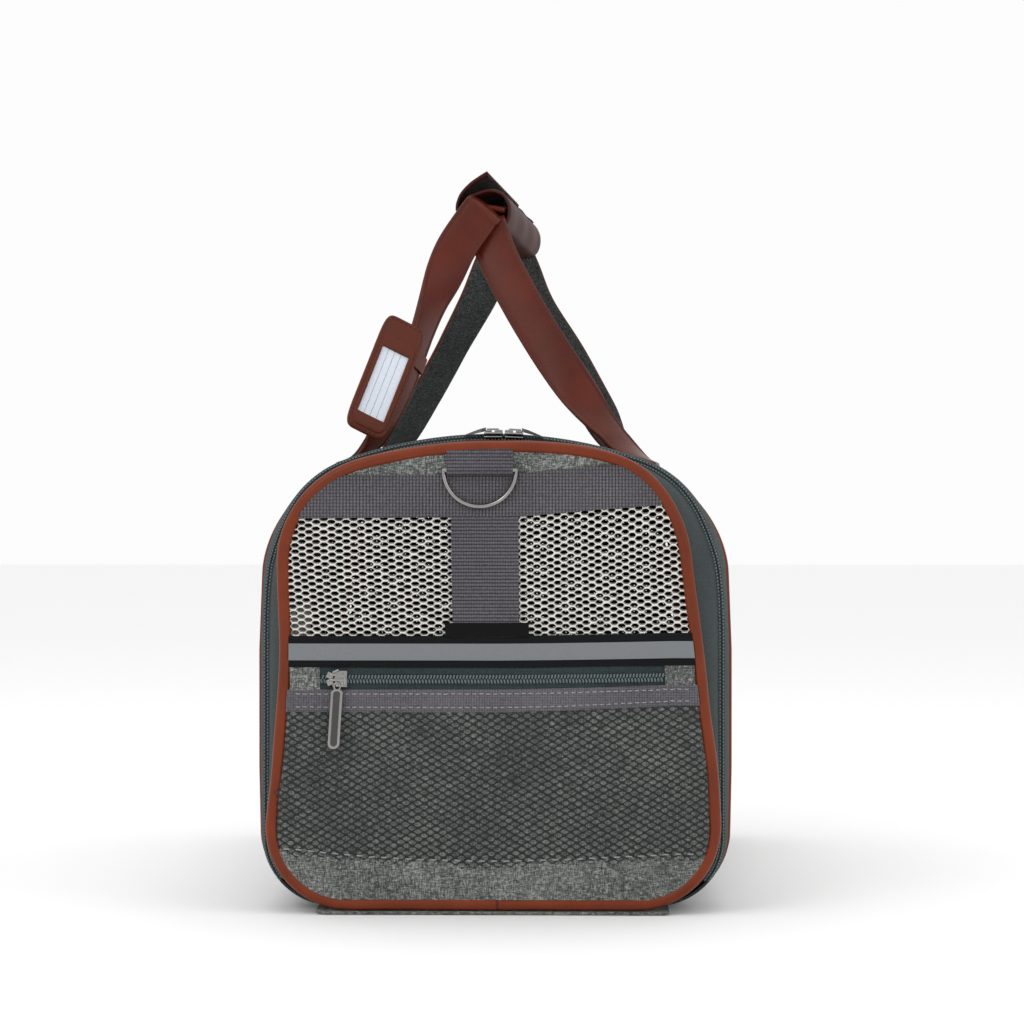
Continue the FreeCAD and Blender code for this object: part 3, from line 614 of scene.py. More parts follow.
def net(name, centres, place, pitch, rise, lean, hole, sink, thickness, under, material, body,
        backing=None):
    """Knitted net with real holes.

    centres: (count, 2) cell centres on a lattice of that pitch and half row rise. place(a, b, height)
    puts net coordinates on the bag. lean is the half width of a cell's level edge. hole: half sizes.
    under: size and offset of the hole in the net's lower layer, beside the upper one.
    """
    wide = pitch / 2 - lean
    outline = np.array([(wide, 0), ((wide + lean) / 2, rise / 2), (lean, rise), (0, rise), (-lean, rise),
                        (-(wide + lean) / 2, rise / 2), (-wide, 0), (-(wide + lean) / 2, -rise / 2),
                        (-lean, -rise), (0, -rise), (lean, -rise), ((wide + lean) / 2, -rise / 2)])
    angle = np.arange(12) * math.pi / 6
    rounded = np.stack([hole[0] * np.cos(angle), hole[1] * np.sin(angle)], 1) * 0.6 + outline * 0.4 * (
        hole / (wide, rise))
    count = len(centres)
    jitter = draw.normal(0, 0.05, (count, 1, 2)) * hole
    rings = [(outline, 0.0, 0), (outline * 0.5 + rounded * 0.5, -0.25 * sink, 0.5), (rounded, -sink, 1),
             (rounded * 0.97, -sink - 0.3 * MM, 1), (rounded * under[0] + under[1], -thickness, 1),
             (outline, -thickness, 0)]
    levels = []
    for flat_ring, height, moves in rings:
        spots = centres[:, None] + flat_ring[None] + moves * jitter
        levels.append(place(spots[..., 0], spots[..., 1], np.full(spots.shape[:2], height)))
    points = np.stack(levels, 1).reshape(-1, 3)
    per = 12 * len(rings)
    one = grid_faces(len(rings), 12, False, True)
    faces = (one[None] + (np.arange(count) * per)[:, None, None]).reshape(-1, 4)
    thing = make(name, points, faces, material, body, 80)
    # The hole walls and the lower layer take the second material, whose colour is painted shade inside the
    # holes.
    if backing:
        thing.data.materials.append(backing)
        wall = np.tile(np.repeat([0, 0, 0, 1, 1], 12), count)
        thing.data.polygons.foreach_set("material_index", wall)
    return thing


def lattice(a_span, b_span, pitch, rise, inside=None):
    """Cell centres of a net inside a region."""
    spots = []
    for row, b in enumerate(np.arange(b_span[0], b_span[1], rise)):
        a = np.arange(a_span[0] + (pitch / 2 if row % 2 else 0), a_span[1], pitch)
        spots.append(np.stack([a, np.full(len(a), b)], 1))
    spots = np.concatenate(spots)
    return spots[inside(spots[:, 0], spots[:, 1])] if inside else spots


BAND_TOP = edge_line(251.0 * MM, 252.2 * MM, 255.0 * MM)
BAND_LOW = edge_line(226.8 * MM, 227.6 * MM, 232.6 * MM)
TAPE_TOP = edge_line(159.6 * MM, 159.8 * MM, 161.6 * MM)
SHINE_TOP = edge_line(155.3 * MM, 155.3 * MM, 156.9 * MM)
SHINE_LOW = edge_line(145.7 * MM, 145.7 * MM, 147.2 * MM)
TAPE_LOW = edge_line(141.6 * MM, 141.6 * MM, 142.9 * MM)
BINDING_TOP = edge_line(129.0 * MM, 129.2 * MM, 132.0 * MM)
BINDING_LOW = edge_line(116.2 * MM, 116.0 * MM, 120.0 * MM)
NET_LOW = edge_line(37.4 * MM, 30.8 * MM, 35.0 * MM)
FLOOR_LINE = edge_line(0, 0, 0)


def crown_line(x):
    """Height just inside the piping over the face's upper part."""
    upper = RIM.points[:69:-1]
    return np.interp(np.abs(x), upper[:, 0], upper[:, 1]) - 2.4 * MM


def shifted(line, amount):
    """An edge line moved up by an amount."""
    return lambda x: line(x) + amount


def make_end_piping(name, sign, body):
    """The leather piping round an end."""
    path = ring_points(RIM, sign * RIM_STATION, 0.0, 300, slump if sign < 0 else None)
    size = 1 + 0.03 * np.sin(np.arange(300) * 0.37) * np.sin(np.arange(300) * 0.11)
    cord = tube(name + "_leather", path, PIPING, PIPING_HIDE, body, True, 20, size)
    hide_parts(name)
    place = np.array([0.002, 0.0035])
    seam, _ = RIM.at(place)
    ring = tube(name + "_joint", np.stack([seam[:, 0], np.full(2, sign * RIM_STATION), seam[:, 1]], 1),
                PIPING * 1.03, HIDE_EDGE, body, False, 20)
    return cord, ring


def make_mesh_window(name, sign, low, high, body, node):
    """The white air mesh of an end."""
    pitch, rise = 8.2 * MM, 1.86 * MM
    centres = lattice((-0.125, 0.125), (0.10, 0.245), pitch, rise, lambda x, z: (
        (np.abs(x) < RIM.half_width(z, 2.5 * MM)) & (z > low(x) - 2 * MM) & (z < high(x) + 2 * MM)))
    # The net is knitted square to the bag and pulled a little with the sewn edge above it.
    def place(a, b, height):
        lift = (high(a) - high(np.float64(-0.1))) * np.clip((b - 0.16) / 0.07, 0, 1)
        return end_point(sign, a, b + lift, -0.2 * MM + height + cloth_wave(a, b, 0.5 * MM))
    # The lower layer's colour is painted shade: grey inside the door's holes, near black at the far end, where
    # the holes almost close over the shaded inside of the bag.
    backing = MESH_HOLE_SHADE if sign < 0 else REAR_MESH_HOLE_SHADE
    under = np.array([0.86, 0.66]) if sign < 0 else 0.15
    window = net(name + "_net", centres, place, pitch, rise, 1.35 * MM, np.array([2.5, 1.42]) * MM, 0.45 * MM,
                 1.7 * MM, (under, np.array([0.2, 0.22]) * MM), WHITE_MESH, body, backing)
    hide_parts(node)
    return window


def make_loop_and_ring(name, sign, body):
    """A webbing tab folded over the ring's straight bar."""
    ring_low, ring_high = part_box(name + "_d_ring")
    middle = (ring_low.x + ring_high.x) / 2
    axis_z = ring_high.z - 1.25 * MM
    axis_depth = (abs(ring_low.y + ring_high.y) / 2) - FACE
    top = RIM.height - 1.2 * MM
    across = np.linspace(-18.9 * MM, 18.9 * MM, 60)
    outside = [(1.6 * MM, top), (axis_depth * 0.75, axis_z + 6.5 * MM)]
    angles = np.linspace(math.radians(60), math.radians(-200), 14)
    fold = [(axis_depth + 2.75 * MM * math.cos(a), axis_z + 2.75 * MM * math.sin(a)) for a in angles]
    outer = smooth_path(outside + fold[1:-1], 60)
    hollow = [(axis_depth + 1.4 * MM * math.cos(a), axis_z + 1.4 * MM * math.sin(a)) for a in angles]
    inner = smooth_path([(0.6 * MM, top), (axis_depth * 0.5, axis_z + 6.5 * MM)] + hollow[1:-1], 60)
    place = np.linspace(0, 1, 60)
    wobble = 0.12 * MM * np.sin(2 * math.pi * place * 14)[None, :] * np.ones((60, 1))
    grids = []
    for path, sway in ((outer, wobble), (inner, 0 * wobble)):
        depth = path[None, :, 0] + sway
        x, z = np.broadcast_arrays(middle + across[:, None], path[None, :, 1])
        grids.append(np.stack([x, sign * (FACE + depth), z], -1))
    vertices, faces = slab(*grids)
    loop = tidy_normals(make(name + "_loop_webbing", vertices, faces, WEBBING, body))
    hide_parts(name + "_ring_loop")
    ring = frame["nodes"][name + "_d_ring"]
    ring.data.materials.clear()
    # The ring's darkened metal colour is a painted dark reflection.
    ring.data.materials.append(DARKENED_CHROME)


def make_door_face():
    """Everything flat on the door: panel, webbing, tape, label, pocket and its edges."""
    body = "door"
    reach = RIM.half_width(236 * MM, 2.4 * MM)
    top = face_strip("top_heather", -1, shifted(BAND_LOW, 3 * MM), crown_line, 0.0, 1.8 * MM, HEATHER, body,
                     (-reach, reach), rows=24)
    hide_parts("door_top_panel")
    band = face_strip("top_webbing_band", -1, BAND_LOW, BAND_TOP, 1.3 * MM, 1.2 * MM, BAND_WEBBING, body,
                      columns=900, rows=40, relief=ribs(1.9 * MM, 0.42 * MM), roll=0.5 * MM)
    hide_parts("door_top_webbing")
    make_mesh_window("door_mesh", -1, TAPE_TOP, BAND_LOW, body, "door_mesh")
    centre_low, centre_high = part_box("door_centre_webbing")
    centre = face_strip("centre_webbing_strip", -1, shifted(TAPE_TOP, -1 * MM), shifted(BAND_LOW, 0.6 * MM),
                        1.2 * MM, 1.1 * MM, WEBBING, body, (centre_low.x, centre_high.x), 44, 240,
                        ribs(2.0 * MM, 0.34 * MM, False), 0.2 * MM)
    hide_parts("door_centre_webbing")
    tape = face_strip("black_tape_strip", -1, TAPE_LOW, TAPE_TOP, 1.4 * MM, 1.2 * MM, BLACK_TAPE, body,
                      rows=26,
                      relief=lambda x, z: 0.22 * MM * np.sin(z * 2 * math.pi / (2.1 * MM)))
    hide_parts("strip_tape")
    shine = face_strip("reflective_band", -1, SHINE_LOW, SHINE_TOP, 2.0 * MM, 0.6 * MM, REFLECTIVE, body,
                       rows=10, roll=0.25 * MM, wavy=0.4 * MM)
    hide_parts("reflective_strip")
    label_low, label_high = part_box("blank_label")
    label = face_strip("blank_side_label", -1, shifted(TAPE_TOP, -0.5 * MM), shifted(TAPE_TOP, 7.4 * MM),
                       2.1 * MM, 0.5 * MM, LABEL, body, (label_low.x, label_high.x), 40, 12,
                       wavy=0.2 * MM)
    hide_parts("blank_label")
    # This panel's extra lightness over the other heather is painted highlight.
    backing = face_strip("pocket_backing", -1, shifted(FLOOR_LINE, 6 * MM), shifted(TAPE_TOP, -2 * MM), 0.0,
                         1.8 * MM, LIT_POCKET_CLOTH, body, rows=40, wavy=0.9 * MM)
    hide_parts("door_lower_panel")
    bottom = face_strip("bottom_heather", -1, FLOOR_LINE, NET_LOW, 1.1 * MM, 1.0 * MM, HEATHER, body,
                        rows=20, roll=0.5 * MM)
    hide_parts("door_bottom_panel")
    binding = face_strip("pocket_edge_binding", -1, BINDING_LOW, BINDING_TOP, 1.9 * MM, 1.7 * MM, BINDING,
                         body, columns=500, rows=16, relief=ribs(1.5 * MM, 0.16 * MM), roll=0.6 * MM)
    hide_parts("pocket_binding")
    for row, (line, amount) in enumerate(((BINDING_TOP, -2.6 * MM), (BINDING_LOW, 2.8 * MM))):
        stitch_row(f"binding_stitches_{row}", -1, (-0.113, 0.114), shifted(line, amount), 2.15 * MM, body,
                   BINDING_THREAD)
    stitch_row("bottom_seam_stitches", -1, (-0.118, 0.118), shifted(NET_LOW, 0.3 * MM), 1.9 * MM, body,
               BINDING_THREAD, 3.6 * MM, 3.4 * MM, 0.42 * MM)
    make_pocket_net(body)
    make_pocket_zip(body)
    make_loop_and_ring("front", -1, body)
    make_end_piping("door_piping", -1, body)


def make_pocket_net(body):
    """The black net of the pocket."""
    pitch, rise = 7.0 * MM, 2.06 * MM
    centres = lattice((-0.13, 0.13), (0.025, 0.125), pitch, rise, lambda x, z: (
        (np.abs(x) < RIM.half_width(z, 2.5 * MM)) & (z > NET_LOW(x) - 2 * MM)
        & (z < BINDING_LOW(x) + 2 * MM)))

    def place(a, b, height):
        return end_point(-1, a + 0.5 * MM * np.sin(b * 90 + a * 20), b + 0.5 * MM * np.sin(a * 70),
                         1.35 * MM + height + cloth_wave(a, b, 0.8 * MM))
    pocket = net("pocket_net", centres, place, pitch, rise, 0.35 * MM, np.array([2.4, 1.36]) * MM, 0.2 * MM,
                 0.8 * MM, (0.97, np.zeros(2)), BLACK_NET, body)
    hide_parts("pocket_mesh")


def make_pocket_zip(body):
    """Tape and coil teeth across the pocket, with a cloth tab at each end."""
    low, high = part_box("pocket_zip")
    coil_z = 135 * MM
    tape = face_strip("pocket_zip_tape", -1, shifted(BINDING_TOP, -1.2 * MM), shifted(TAPE_LOW, 0.6 * MM),
                      0.9 * MM, 0.9 * MM, ZIP_TAPE, body, (low.x, high.x), 200, 24,
                      lambda x, z: 0.14 * MM * np.sin(z * 2 * math.pi / (1.1 * MM)))
    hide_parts("pocket_zip")
    x = np.arange(low.x + 1 * MM, high.x - 1 * MM, 1.9 * MM)
    line_z = coil_z + 1.2 * MM * np.clip(x / 0.1, 0, 1) ** 1.5
    for row, side in enumerate((-1, 1)):
        centres = end_point(-1, x + 0.95 * MM * row, line_z + side * 1.25 * MM, 1.9 * MM)
        along = np.tile((0.55 * MM, 0, side * 2.3 * MM), (len(x), 1))
        capsules(f"pocket_teeth_{row}", centres, along, np.tile((0, -1.0, 0), (len(x), 1)), 2.6 * MM,
                 0.62 * MM, ZIP_TEETH, body, 0.9)
    tabs_low, tabs_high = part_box("pocket_zip_tabs")
    for side, span in (("left", (tabs_low.x, low.x)), ("right", (high.x, tabs_high.x))):
        face_strip(f"zip_tab_{side}", -1, shifted(BINDING_TOP, -1 * MM),
                               shifted(TAPE_LOW, 0.3 * MM),
                               1.7 * MM, 1.5 * MM, HEATHER, body, span, 16, 14,
                               roll=0.4 * MM)
    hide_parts("pocket_zip_tabs")


def make_rear_face():
    """The far end: cloth, webbing, air mesh, binding, ring and piping."""
    body = "bag"
    mesh_low = edge_line(*(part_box("rear_mesh")[0].z,) * 3)
    band_low, band_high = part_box("rear_top_webbing")
    band_foot, band_head = edge_line(*(band_low.z,) * 3), edge_line(*(band_high.z,) * 3)
    reach = RIM.half_width(band_low.z + 5 * MM, 2.4 * MM)
    top = face_strip("rear_top_heather", 1, shifted(band_foot, 3 * MM), crown_line, 0.0, 1.8 * MM,
                     HEATHER, body, (-reach, reach), rows=24)
    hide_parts("rear_top_panel")
    lower = face_strip("rear_lower_heather", 1, FLOOR_LINE, mesh_low, 0.0, 1.8 * MM, HEATHER, body,
                       rows=44, wavy=0.9 * MM)
    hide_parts("rear_lower_panel")
    band = face_strip("rear_webbing_band", 1, band_foot, band_head, 1.3 * MM, 1.2 * MM, BAND_WEBBING,
                      body,
                      columns=900, rows=40, relief=ribs(1.9 * MM, 0.42 * MM), roll=0.5 * MM)
    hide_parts("rear_top_webbing")
    make_mesh_window("rear_mesh", 1, mesh_low, band_foot, body, "rear_mesh")
    face_strip("rear_mesh_binding", 1, shifted(mesh_low, -9 * MM), shifted(mesh_low, 3 * MM), 1.5 * MM,
               1.3 * MM, BINDING, body, columns=500, rows=16,
               relief=ribs(1.5 * MM, 0.16 * MM), roll=0.6 * MM)
    for row, amount in enumerate((-7 * MM, 1 * MM)):
        stitch_row(f"rear_binding_stitches_{row}", 1, (-0.114, 0.114), shifted(mesh_low, amount),
                   1.8 * MM, body, BINDING_THREAD)
    make_loop_and_ring("rear", 1, body)
    make_end_piping("rear_piping", 1, body)


# Gusset bands, zips and collars

BASE_GAP_PLACE = 99 * MM
ZIP_INSET = 4.4 * MM
BAND_CLOTH = 1.4 * MM
BAND_BULGE = 1.2 * MM
RIM_INSET = -1.6 * MM
REAR_TUCK = 2.4 * MM
COLLAR_INSETS = (ZIP_INSET - 2.0 * MM, 0.8 * MM)
COLLAR_BULGE = 0.9 * MM


def over_top(place, half):
    """Signed place: beyond the crown's top it comes back down the left side."""
    return np.where(place <= half, place, place - 2 * half)


def puff(height):
    """How far the stuffed walls stand out from the hull at a height."""
    return np.interp(height, (0.0, 0.04, 0.08, 0.15, 0.2, 0.24, 0.262, 0.278),
                     np.array((-1.0, 1.5, 2.4, 2.4, 0.5, -2.4, -2.0, -1.8)) * MM)


def neck(height):
    """How far the zip's shoulders draw in."""
    return 4.0 * MM * np.exp(-((height - 0.222) / 0.030) ** 2)


def bulk(height, station):
    """The walls' fullness away from the zip, the neck at it."""
    share = wall_share(station)
    return puff(height) * share - neck(height) * (1 - share)


def wall_share(station):
    """The walls' own shape fades out towards the zip."""
    return eased(abs(station), 0.204, 0.176)


def hoop_sheet(name, stations, forms, insets, thickness, start, body, material, bulge=0.0, columns=10,
               count=260, shape=None):
    """Cloth round the sides and top, from one station along the bag to another."""
    v = np.linspace(0, 1, columns)
    share = np.linspace(0, 1, count)
    grids = []
    for extra in (0.0, thickness):
        ends = []
        for form, station, inset in zip(forms, stations, insets):
            place = start[form] + share * (2 * form.half_length - 2 * start[form])
            signed = over_top(place, form.half_length)
            swell = bulk(form.at(signed)[0][:, 1], station) if form is HULL else 0.0
            point, normal = form.at(signed, inset + extra - swell)
            ends.append((np.stack([point[:, 0], np.full(count, station), point[:, 1]], 1), normal))
        (first, normal_a), (last, normal_b) = ends
        if shape:
            first = shape(first)
        grid = first[:, None] * (1 - v)[None, :, None] + last[:, None] * v[None, :, None]
        normal = unit(normal_a + normal_b)
        out = np.stack([normal[:, 0], np.zeros(count), normal[:, 1]], 1)
        arch = bulge * np.sin(math.pi * v)
        grid = grid + out[:, None] * arch[None, :, None]
        grids.append(grid)
    vertices, faces = slab(*grids)
    return tidy_normals(make(name, vertices, faces, material, body))


def make_bands_and_collars():
    """Gussets behind the piping, collars on the walls, the seam piping and the hoop wires."""
    start_door = {RIM: RIM.steps[28] + 18 * MM, HULL: HULL.place_of(height=12 * MM)}
    start_body = {RIM: RIM.steps[28] + 14 * MM, HULL: BASE_GAP_PLACE}
    near, far = RIM_STATION - 1.2 * MM, ZIP_STATION + 3.6 * MM
    band = hoop_sheet("door_gusset", (-near, -far), (RIM, HULL), (RIM_INSET, ZIP_INSET + 2.4 * MM), BAND_CLOTH,
                      start_door, "door", DARK_CLOTH, BAND_BULGE, shape=slump)
    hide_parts("door_band")
    rear = hoop_sheet("rear_gusset", (near, far - REAR_TUCK), (RIM, HULL), (RIM_INSET, 3.0 * MM), BAND_CLOTH,
                      start_body, "bag", DARK_CLOTH, BAND_BULGE)
    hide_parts("rear_band")
    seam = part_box("front_seam_piping")[0].y
    collar = hoop_sheet("front_collar_cloth", (-ZIP_STATION + 3.4 * MM, seam + 1.2 * MM), (HULL, HULL),
                        COLLAR_INSETS, BAND_CLOTH, start_body, "bag", DARK_CLOTH,
                        COLLAR_BULGE)
    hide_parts("front_collar")
    back = hoop_sheet("rear_collar_cloth", (far - 0.4 * MM, -seam - 1.2 * MM), (HULL, HULL),
                      COLLAR_INSETS, BAND_CLOTH, start_body, "bag", DARK_CLOTH,
                      COLLAR_BULGE)
    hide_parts("rear_collar")
    for name, sign in (("front", -1), ("rear", 1)):
        station = sign * 174 * MM
        first = HULL.place_of(height=9 * MM)
        place = np.linspace(first, 2 * HULL.half_length - first, 300)
        signed = over_top(place, HULL.half_length)
        height = HULL.at(signed)[0][:, 1]
        point, _ = HULL.at(signed, 1.2 * MM + 1.6 * MM * eased(height, 0.19, 0.26) - puff(height))
        path = np.stack([point[:, 0], np.full(300, station), point[:, 1]], 1)
        cord = tube(name + "_seam_leather", path, 1.9 * MM, PIPING_HIDE, "bag", False, 12)
        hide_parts(name + "_seam_piping")
        low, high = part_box(name + "_frame_wire")
        signed = over_top(np.linspace(0, 2 * HULL.half_length, 300), HULL.half_length)
        point, _ = HULL.at(signed, 6.4 * MM + neck(HULL.at(signed)[0][:, 1]))
        path = np.stack([point[:, 0], np.full(300, (low.y + high.y) / 2), point[:, 1]], 1)
        wire = tube(name + "_hoop_wire", path, (high.y - low.y) / 2, WIRE, "bag", False, 10)
        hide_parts(name + "_frame_wire")


def make_door_zip():
    """Tape and coil teeth on each side of the door's zip."""
    first = HULL.place_of(height=15 * MM)
    place = np.arange(first, 2 * HULL.half_length - first, 2.0 * MM)
    start = {HULL: first}
    for node, body, sign in (("door_zip_body_side", "bag", 1), ("door_zip_door_side", "door", -1)):
        edge, far = -ZIP_STATION + sign * 0.35 * MM, -ZIP_STATION + sign * 4.2 * MM
        insets = (ZIP_INSET + 0.6 * MM, ZIP_INSET + (0.8 - 2.0 * sign) * MM)
        tape = hoop_sheet(node + "_tape", (edge, far), (HULL, HULL), insets, 0.9 * MM, start, body, ZIP_TAPE,
                          0.0, 6)
        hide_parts(node)
        signed = over_top(place + (1.0 * MM if sign > 0 else 0), HULL.half_length)
        drawn = neck(HULL.at(signed)[0][:, 1])
        point, normal = HULL.at(signed, ZIP_INSET - 1.0 * sign * MM + drawn)
        centres = np.stack([point[:, 0], np.full(len(place), edge + sign * 0.75 * MM), point[:, 1]], 1)
        up = np.stack([normal[:, 0], np.zeros(len(place)), normal[:, 1]], 1)
        tangent = np.cross(up, (0, 1.0, 0))
        along = np.tile((0, 1.0, 0), (len(place), 1)) + 0.25 * tangent
        capsules(node + "_teeth", centres, along, up, 2.4 * MM, 0.78 * MM, ZIP_TEETH, body, 0.9)


# Walls

WALL_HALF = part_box("top_panel")[1].y
SAG_SIDE, SAG_TOP = 2.4 * MM, 3.2 * MM


def wall_point(place, y, lift=0.0):
    """A point of the bag's wall: round the hull by place, along by y, lifted outward."""
    place, y, lift = np.broadcast_arrays(place, y, lift)
    point, normal = HULL.at(over_top(place, HULL.half_length))
    along = 1 - (y / WALL_HALF) ** 2
    height = point[..., 1]
    side = np.clip(height / 0.14, 0, 1) * np.clip((0.24 - height) / 0.06, 0, 1)
    top = np.clip((height - 0.25) / 0.028, 0, 1)
    sag = along * (SAG_SIDE * side + SAG_TOP * top) + cloth_wave(place, y, 0.6 * MM) * along
    inset = CLOTH_INSET + np.maximum(sag, 0) - lift - puff(height)
    return np.stack([point[..., 0] - normal[..., 0] * inset, y, point[..., 1] - normal[..., 1] * inset], -1)


def wall_sheet(name, place_span, y_span, lift, thickness, material, rows, columns, roll=0.0,
               relief=None):
    """A patch lying on the wall, between two places round the hull and two stations."""
    place = np.linspace(*place_span, rows)
    y = np.linspace(*y_span, columns)
    a, b = np.meshgrid(place, y, indexing="ij")
    edge_across = np.minimum(a - place_span[0], place_span[1] - a)
    edge_along = np.minimum(b - y_span[0], y_span[1] - b)
    edge = np.minimum(edge_across, edge_along)
    raised = lift - roll * np.exp(-(edge / (0.9 * MM)) ** 2)
    if relief is not None:
        raised = raised + relief(a, b)
    vertices, faces = slab(wall_point(a, b, raised), wall_point(a, b, raised - thickness))
    return tidy_normals(make(name, vertices, faces, material, "bag"))


def cells(spans, step):
    """Grid lines that include every span's ends."""
    lines = sorted(set(spans))
    parts = [np.linspace(a, b, max(2, round((b - a) / step) + 1))[:-1] for a, b in zip(lines, lines[1:])]
    return np.concatenate(parts + [[lines[-1]]])


def make_walls():
    """Heather walls and roof with their window openings."""
    total = 2 * HULL.half_length
    side_low, side_high = (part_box("right_side_mesh")[part].z for part in (0, 1))
    side_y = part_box("right_side_mesh")[1].y
    roof_x, roof_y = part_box("top_mesh")[1].x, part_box("top_mesh")[1].y
    low, high = HULL.place_of(height=side_low), HULL.place_of(height=side_high)
    roof = HULL.place_of(x=roof_x)
    windows = {"right_side": ((low, high), side_y), "left_side": ((total - high, total - low), side_y),
               "top": ((roof, total - roof), roof_y)}
    place = cells([BASE_GAP_PLACE, total - BASE_GAP_PLACE,
                   *[edge for span, _ in windows.values() for edge in span]],
                  6 * MM)
    y = cells([-WALL_HALF, WALL_HALF, -side_y, side_y, -roof_y, roof_y], 8 * MM)
    a, b = np.meshgrid(place, y, indexing="ij")
    faces = grid_faces(len(place), len(y))
    middle_a = a.ravel()[faces].mean(1)
    middle_b = b.ravel()[faces].mean(1)
    keep = np.ones(len(faces), bool)
    for (first, last), reach in windows.values():
        keep &= ~((middle_a > first) & (middle_a < last) & (np.abs(middle_b) < reach))
    shell = make("wall_cloth", wall_point(a, b).reshape(-1, 3), faces[keep], HEATHER, "bag")
    shell.data.materials.append(INNER_CLOTH)
    thick = shell.modifiers.new("thickness", "SOLIDIFY")
    thick.thickness = 1.8 * MM
    thick.offset = -1
    thick.material_offset = 1
    thick.material_offset_rim = 0
    bpy.context.view_layer.update()
    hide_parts("left_side_panel", "right_side_panel", "top_panel")
    check_outward(shell)
    for name, ((first, last), reach) in windows.items():
        make_wall_window(name, first, last, reach)


def check_outward(thing):
    """Turn the sheet over if its faces point into the bag."""
    polygon = thing.data.polygons[0]
    if Vector((polygon.center.x, 0, polygon.center.z - 0.14)).dot(polygon.normal) < 0:
        thing.data.flip_normals()


def make_wall_window(name, first, last, reach):
    """Mesh and its sewn tape frame, in one window of the wall."""
    pitch, rise = 8.2 * MM, 1.86 * MM
    centres = lattice((-reach, reach), (first, last), pitch, rise)
    # The second material of this net is painted shade for the insides of its holes.
    window = net(name + "_net", centres, lambda a, b, height: wall_point(b, a, height - 0.2 * MM), pitch,
                 rise, 1.35 * MM, np.array([2.5, 1.42]) * MM, 0.45 * MM, 1.5 * MM,
                 (np.array([0.86, 0.66]), np.array([0.2, 0.22]) * MM),
                 WHITE_MESH, "bag", MESH_HOLE_SHADE)
    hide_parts(name + "_mesh")
    wide = 11 * MM
    outer_first, outer_last, outer = first - wide * 0.7, last + wide * 0.7, reach + wide * 0.7
    strips = {
        "low": ((outer_first, outer_first + wide), (-outer, outer)),
        "high": ((outer_last - wide, outer_last), (-outer, outer)),
        "front": ((outer_first, outer_last), (-outer, -outer + wide)),
        "rear": ((outer_first, outer_last), (outer - wide, outer)),
    }
    for edge, (place_span, y_span) in strips.items():
        rows = 8 if edge in ("low", "high") else 60
        columns = 120 if edge in ("low", "high") else 8
        lift = 1.1 * MM if edge in ("low", "high") else 1.4 * MM
        wall_sheet(f"{name}_tape_{edge}", place_span, y_span, lift, 0.9 * MM, DARK_CLOTH, rows,
                   columns, 0.5 * MM)
    for track, inward in enumerate((2.2 * MM, wide - 2.2 * MM)):
        a0, a1, b1 = outer_first + inward, outer_last - inward, outer - inward
        loop = []
        corners = ((a0, -b1), (a0, b1), (a1, b1), (a1, -b1))
        for start, end in zip(corners, corners[1:] + corners[:1]):
            length = math.dist(start, end)
            steps = np.arange(2 * MM, length - 1 * MM, 4.0 * MM) / length
            loop.append(np.array(start) + steps[:, None] * (np.array(end) - np.array(start)))
        spots = np.concatenate(loop)
        ahead = np.concatenate([piece + 0.05 * MM * unit(np.array([piece[-1] - piece[0]])) for piece in loop])
        centres = wall_point(spots[:, 0], spots[:, 1], 1.55 * MM)
        along = wall_point(ahead[:, 0], ahead[:, 1], 1.55 * MM) - centres
        up = wall_point(spots[:, 0], spots[:, 1], 3 * MM) - centres
        capsules(f"{name}_stitches_{track}", centres, along, up, 2.6 * MM, 0.3 * MM, BINDING_THREAD, "bag",
                 0.6)


def make_base():
    """The base panel and the board on it."""
    low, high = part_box("base_panel")
    x = np.linspace(low.x, high.x, 50)
    y = np.linspace(low.y, high.y, 90)
    a, b = np.meshgrid(x, y, indexing="ij")
    curve = np.interp(np.abs(a), HULL.points[:60, 0], HULL.points[:60, 1])
    fade = np.clip((high.y - np.abs(b)) / 0.01, 0, 1)
    rise = curve + 0.35 * MM * (1 + np.sin(a * 70) * np.sin(b * 40)) * fade
    end = np.clip((np.abs(b) - high.y + 6 * MM) / (6 * MM), 0, 1)
    under = rise + 0.5 * MM * end
    outer = np.stack([a, b, under], -1)
    inner = np.stack([a, b, under + 1.9 * MM - 0.4 * MM * end], -1)
    vertices, faces = slab(outer, inner)
    base = tidy_normals(make("base_cloth", vertices, faces, HEATHER, "bag"))
    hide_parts("base_panel")
    board_low, board_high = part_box("base_board")
    board = rounded_slab("base_stiffener", board_low, board_high, 12 * MM, 1.0 * MM, BOARD, "bag")
    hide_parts("base_board")


def rounded_slab(name, low, high, corner, edge, material, body):
    """A flat slab with round corners and softened edges."""
    work = bmesh.new()
    bmesh.ops.create_cube(work, size=1)
    for vertex in work.verts:
        vertex.co = Vector([(low[axis] + high[axis]) / 2 + vertex.co[axis] * (high[axis] - low[axis])
                            for axis in range(3)])
    upright = [item for item in work.edges if abs(item.verts[0].co.z - item.verts[1].co.z) > 1e-6]
    bmesh.ops.bevel(work, geom=upright, offset=corner, segments=8, affect="EDGES", profile=0.5)
    rims = [item for item in work.edges if abs(item.verts[0].co.z - item.verts[1].co.z) < 1e-6]
    bmesh.ops.bevel(work, geom=rims, offset=edge, segments=3, affect="EDGES", profile=0.5)
    mesh = bpy.data.meshes.new(name)
    work.to_mesh(mesh)
    work.free()
    mesh.polygons.foreach_set("use_smooth", [True] * len(mesh.polygons))
    mesh.materials.append(material)
    mesh.set_sharp_from_angle(angle=math.radians(50))
    thing = bpy.data.objects.new(name, mesh)
    bpy.context.scene.collection.objects.link(thing)
    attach(thing, body)
    return thing


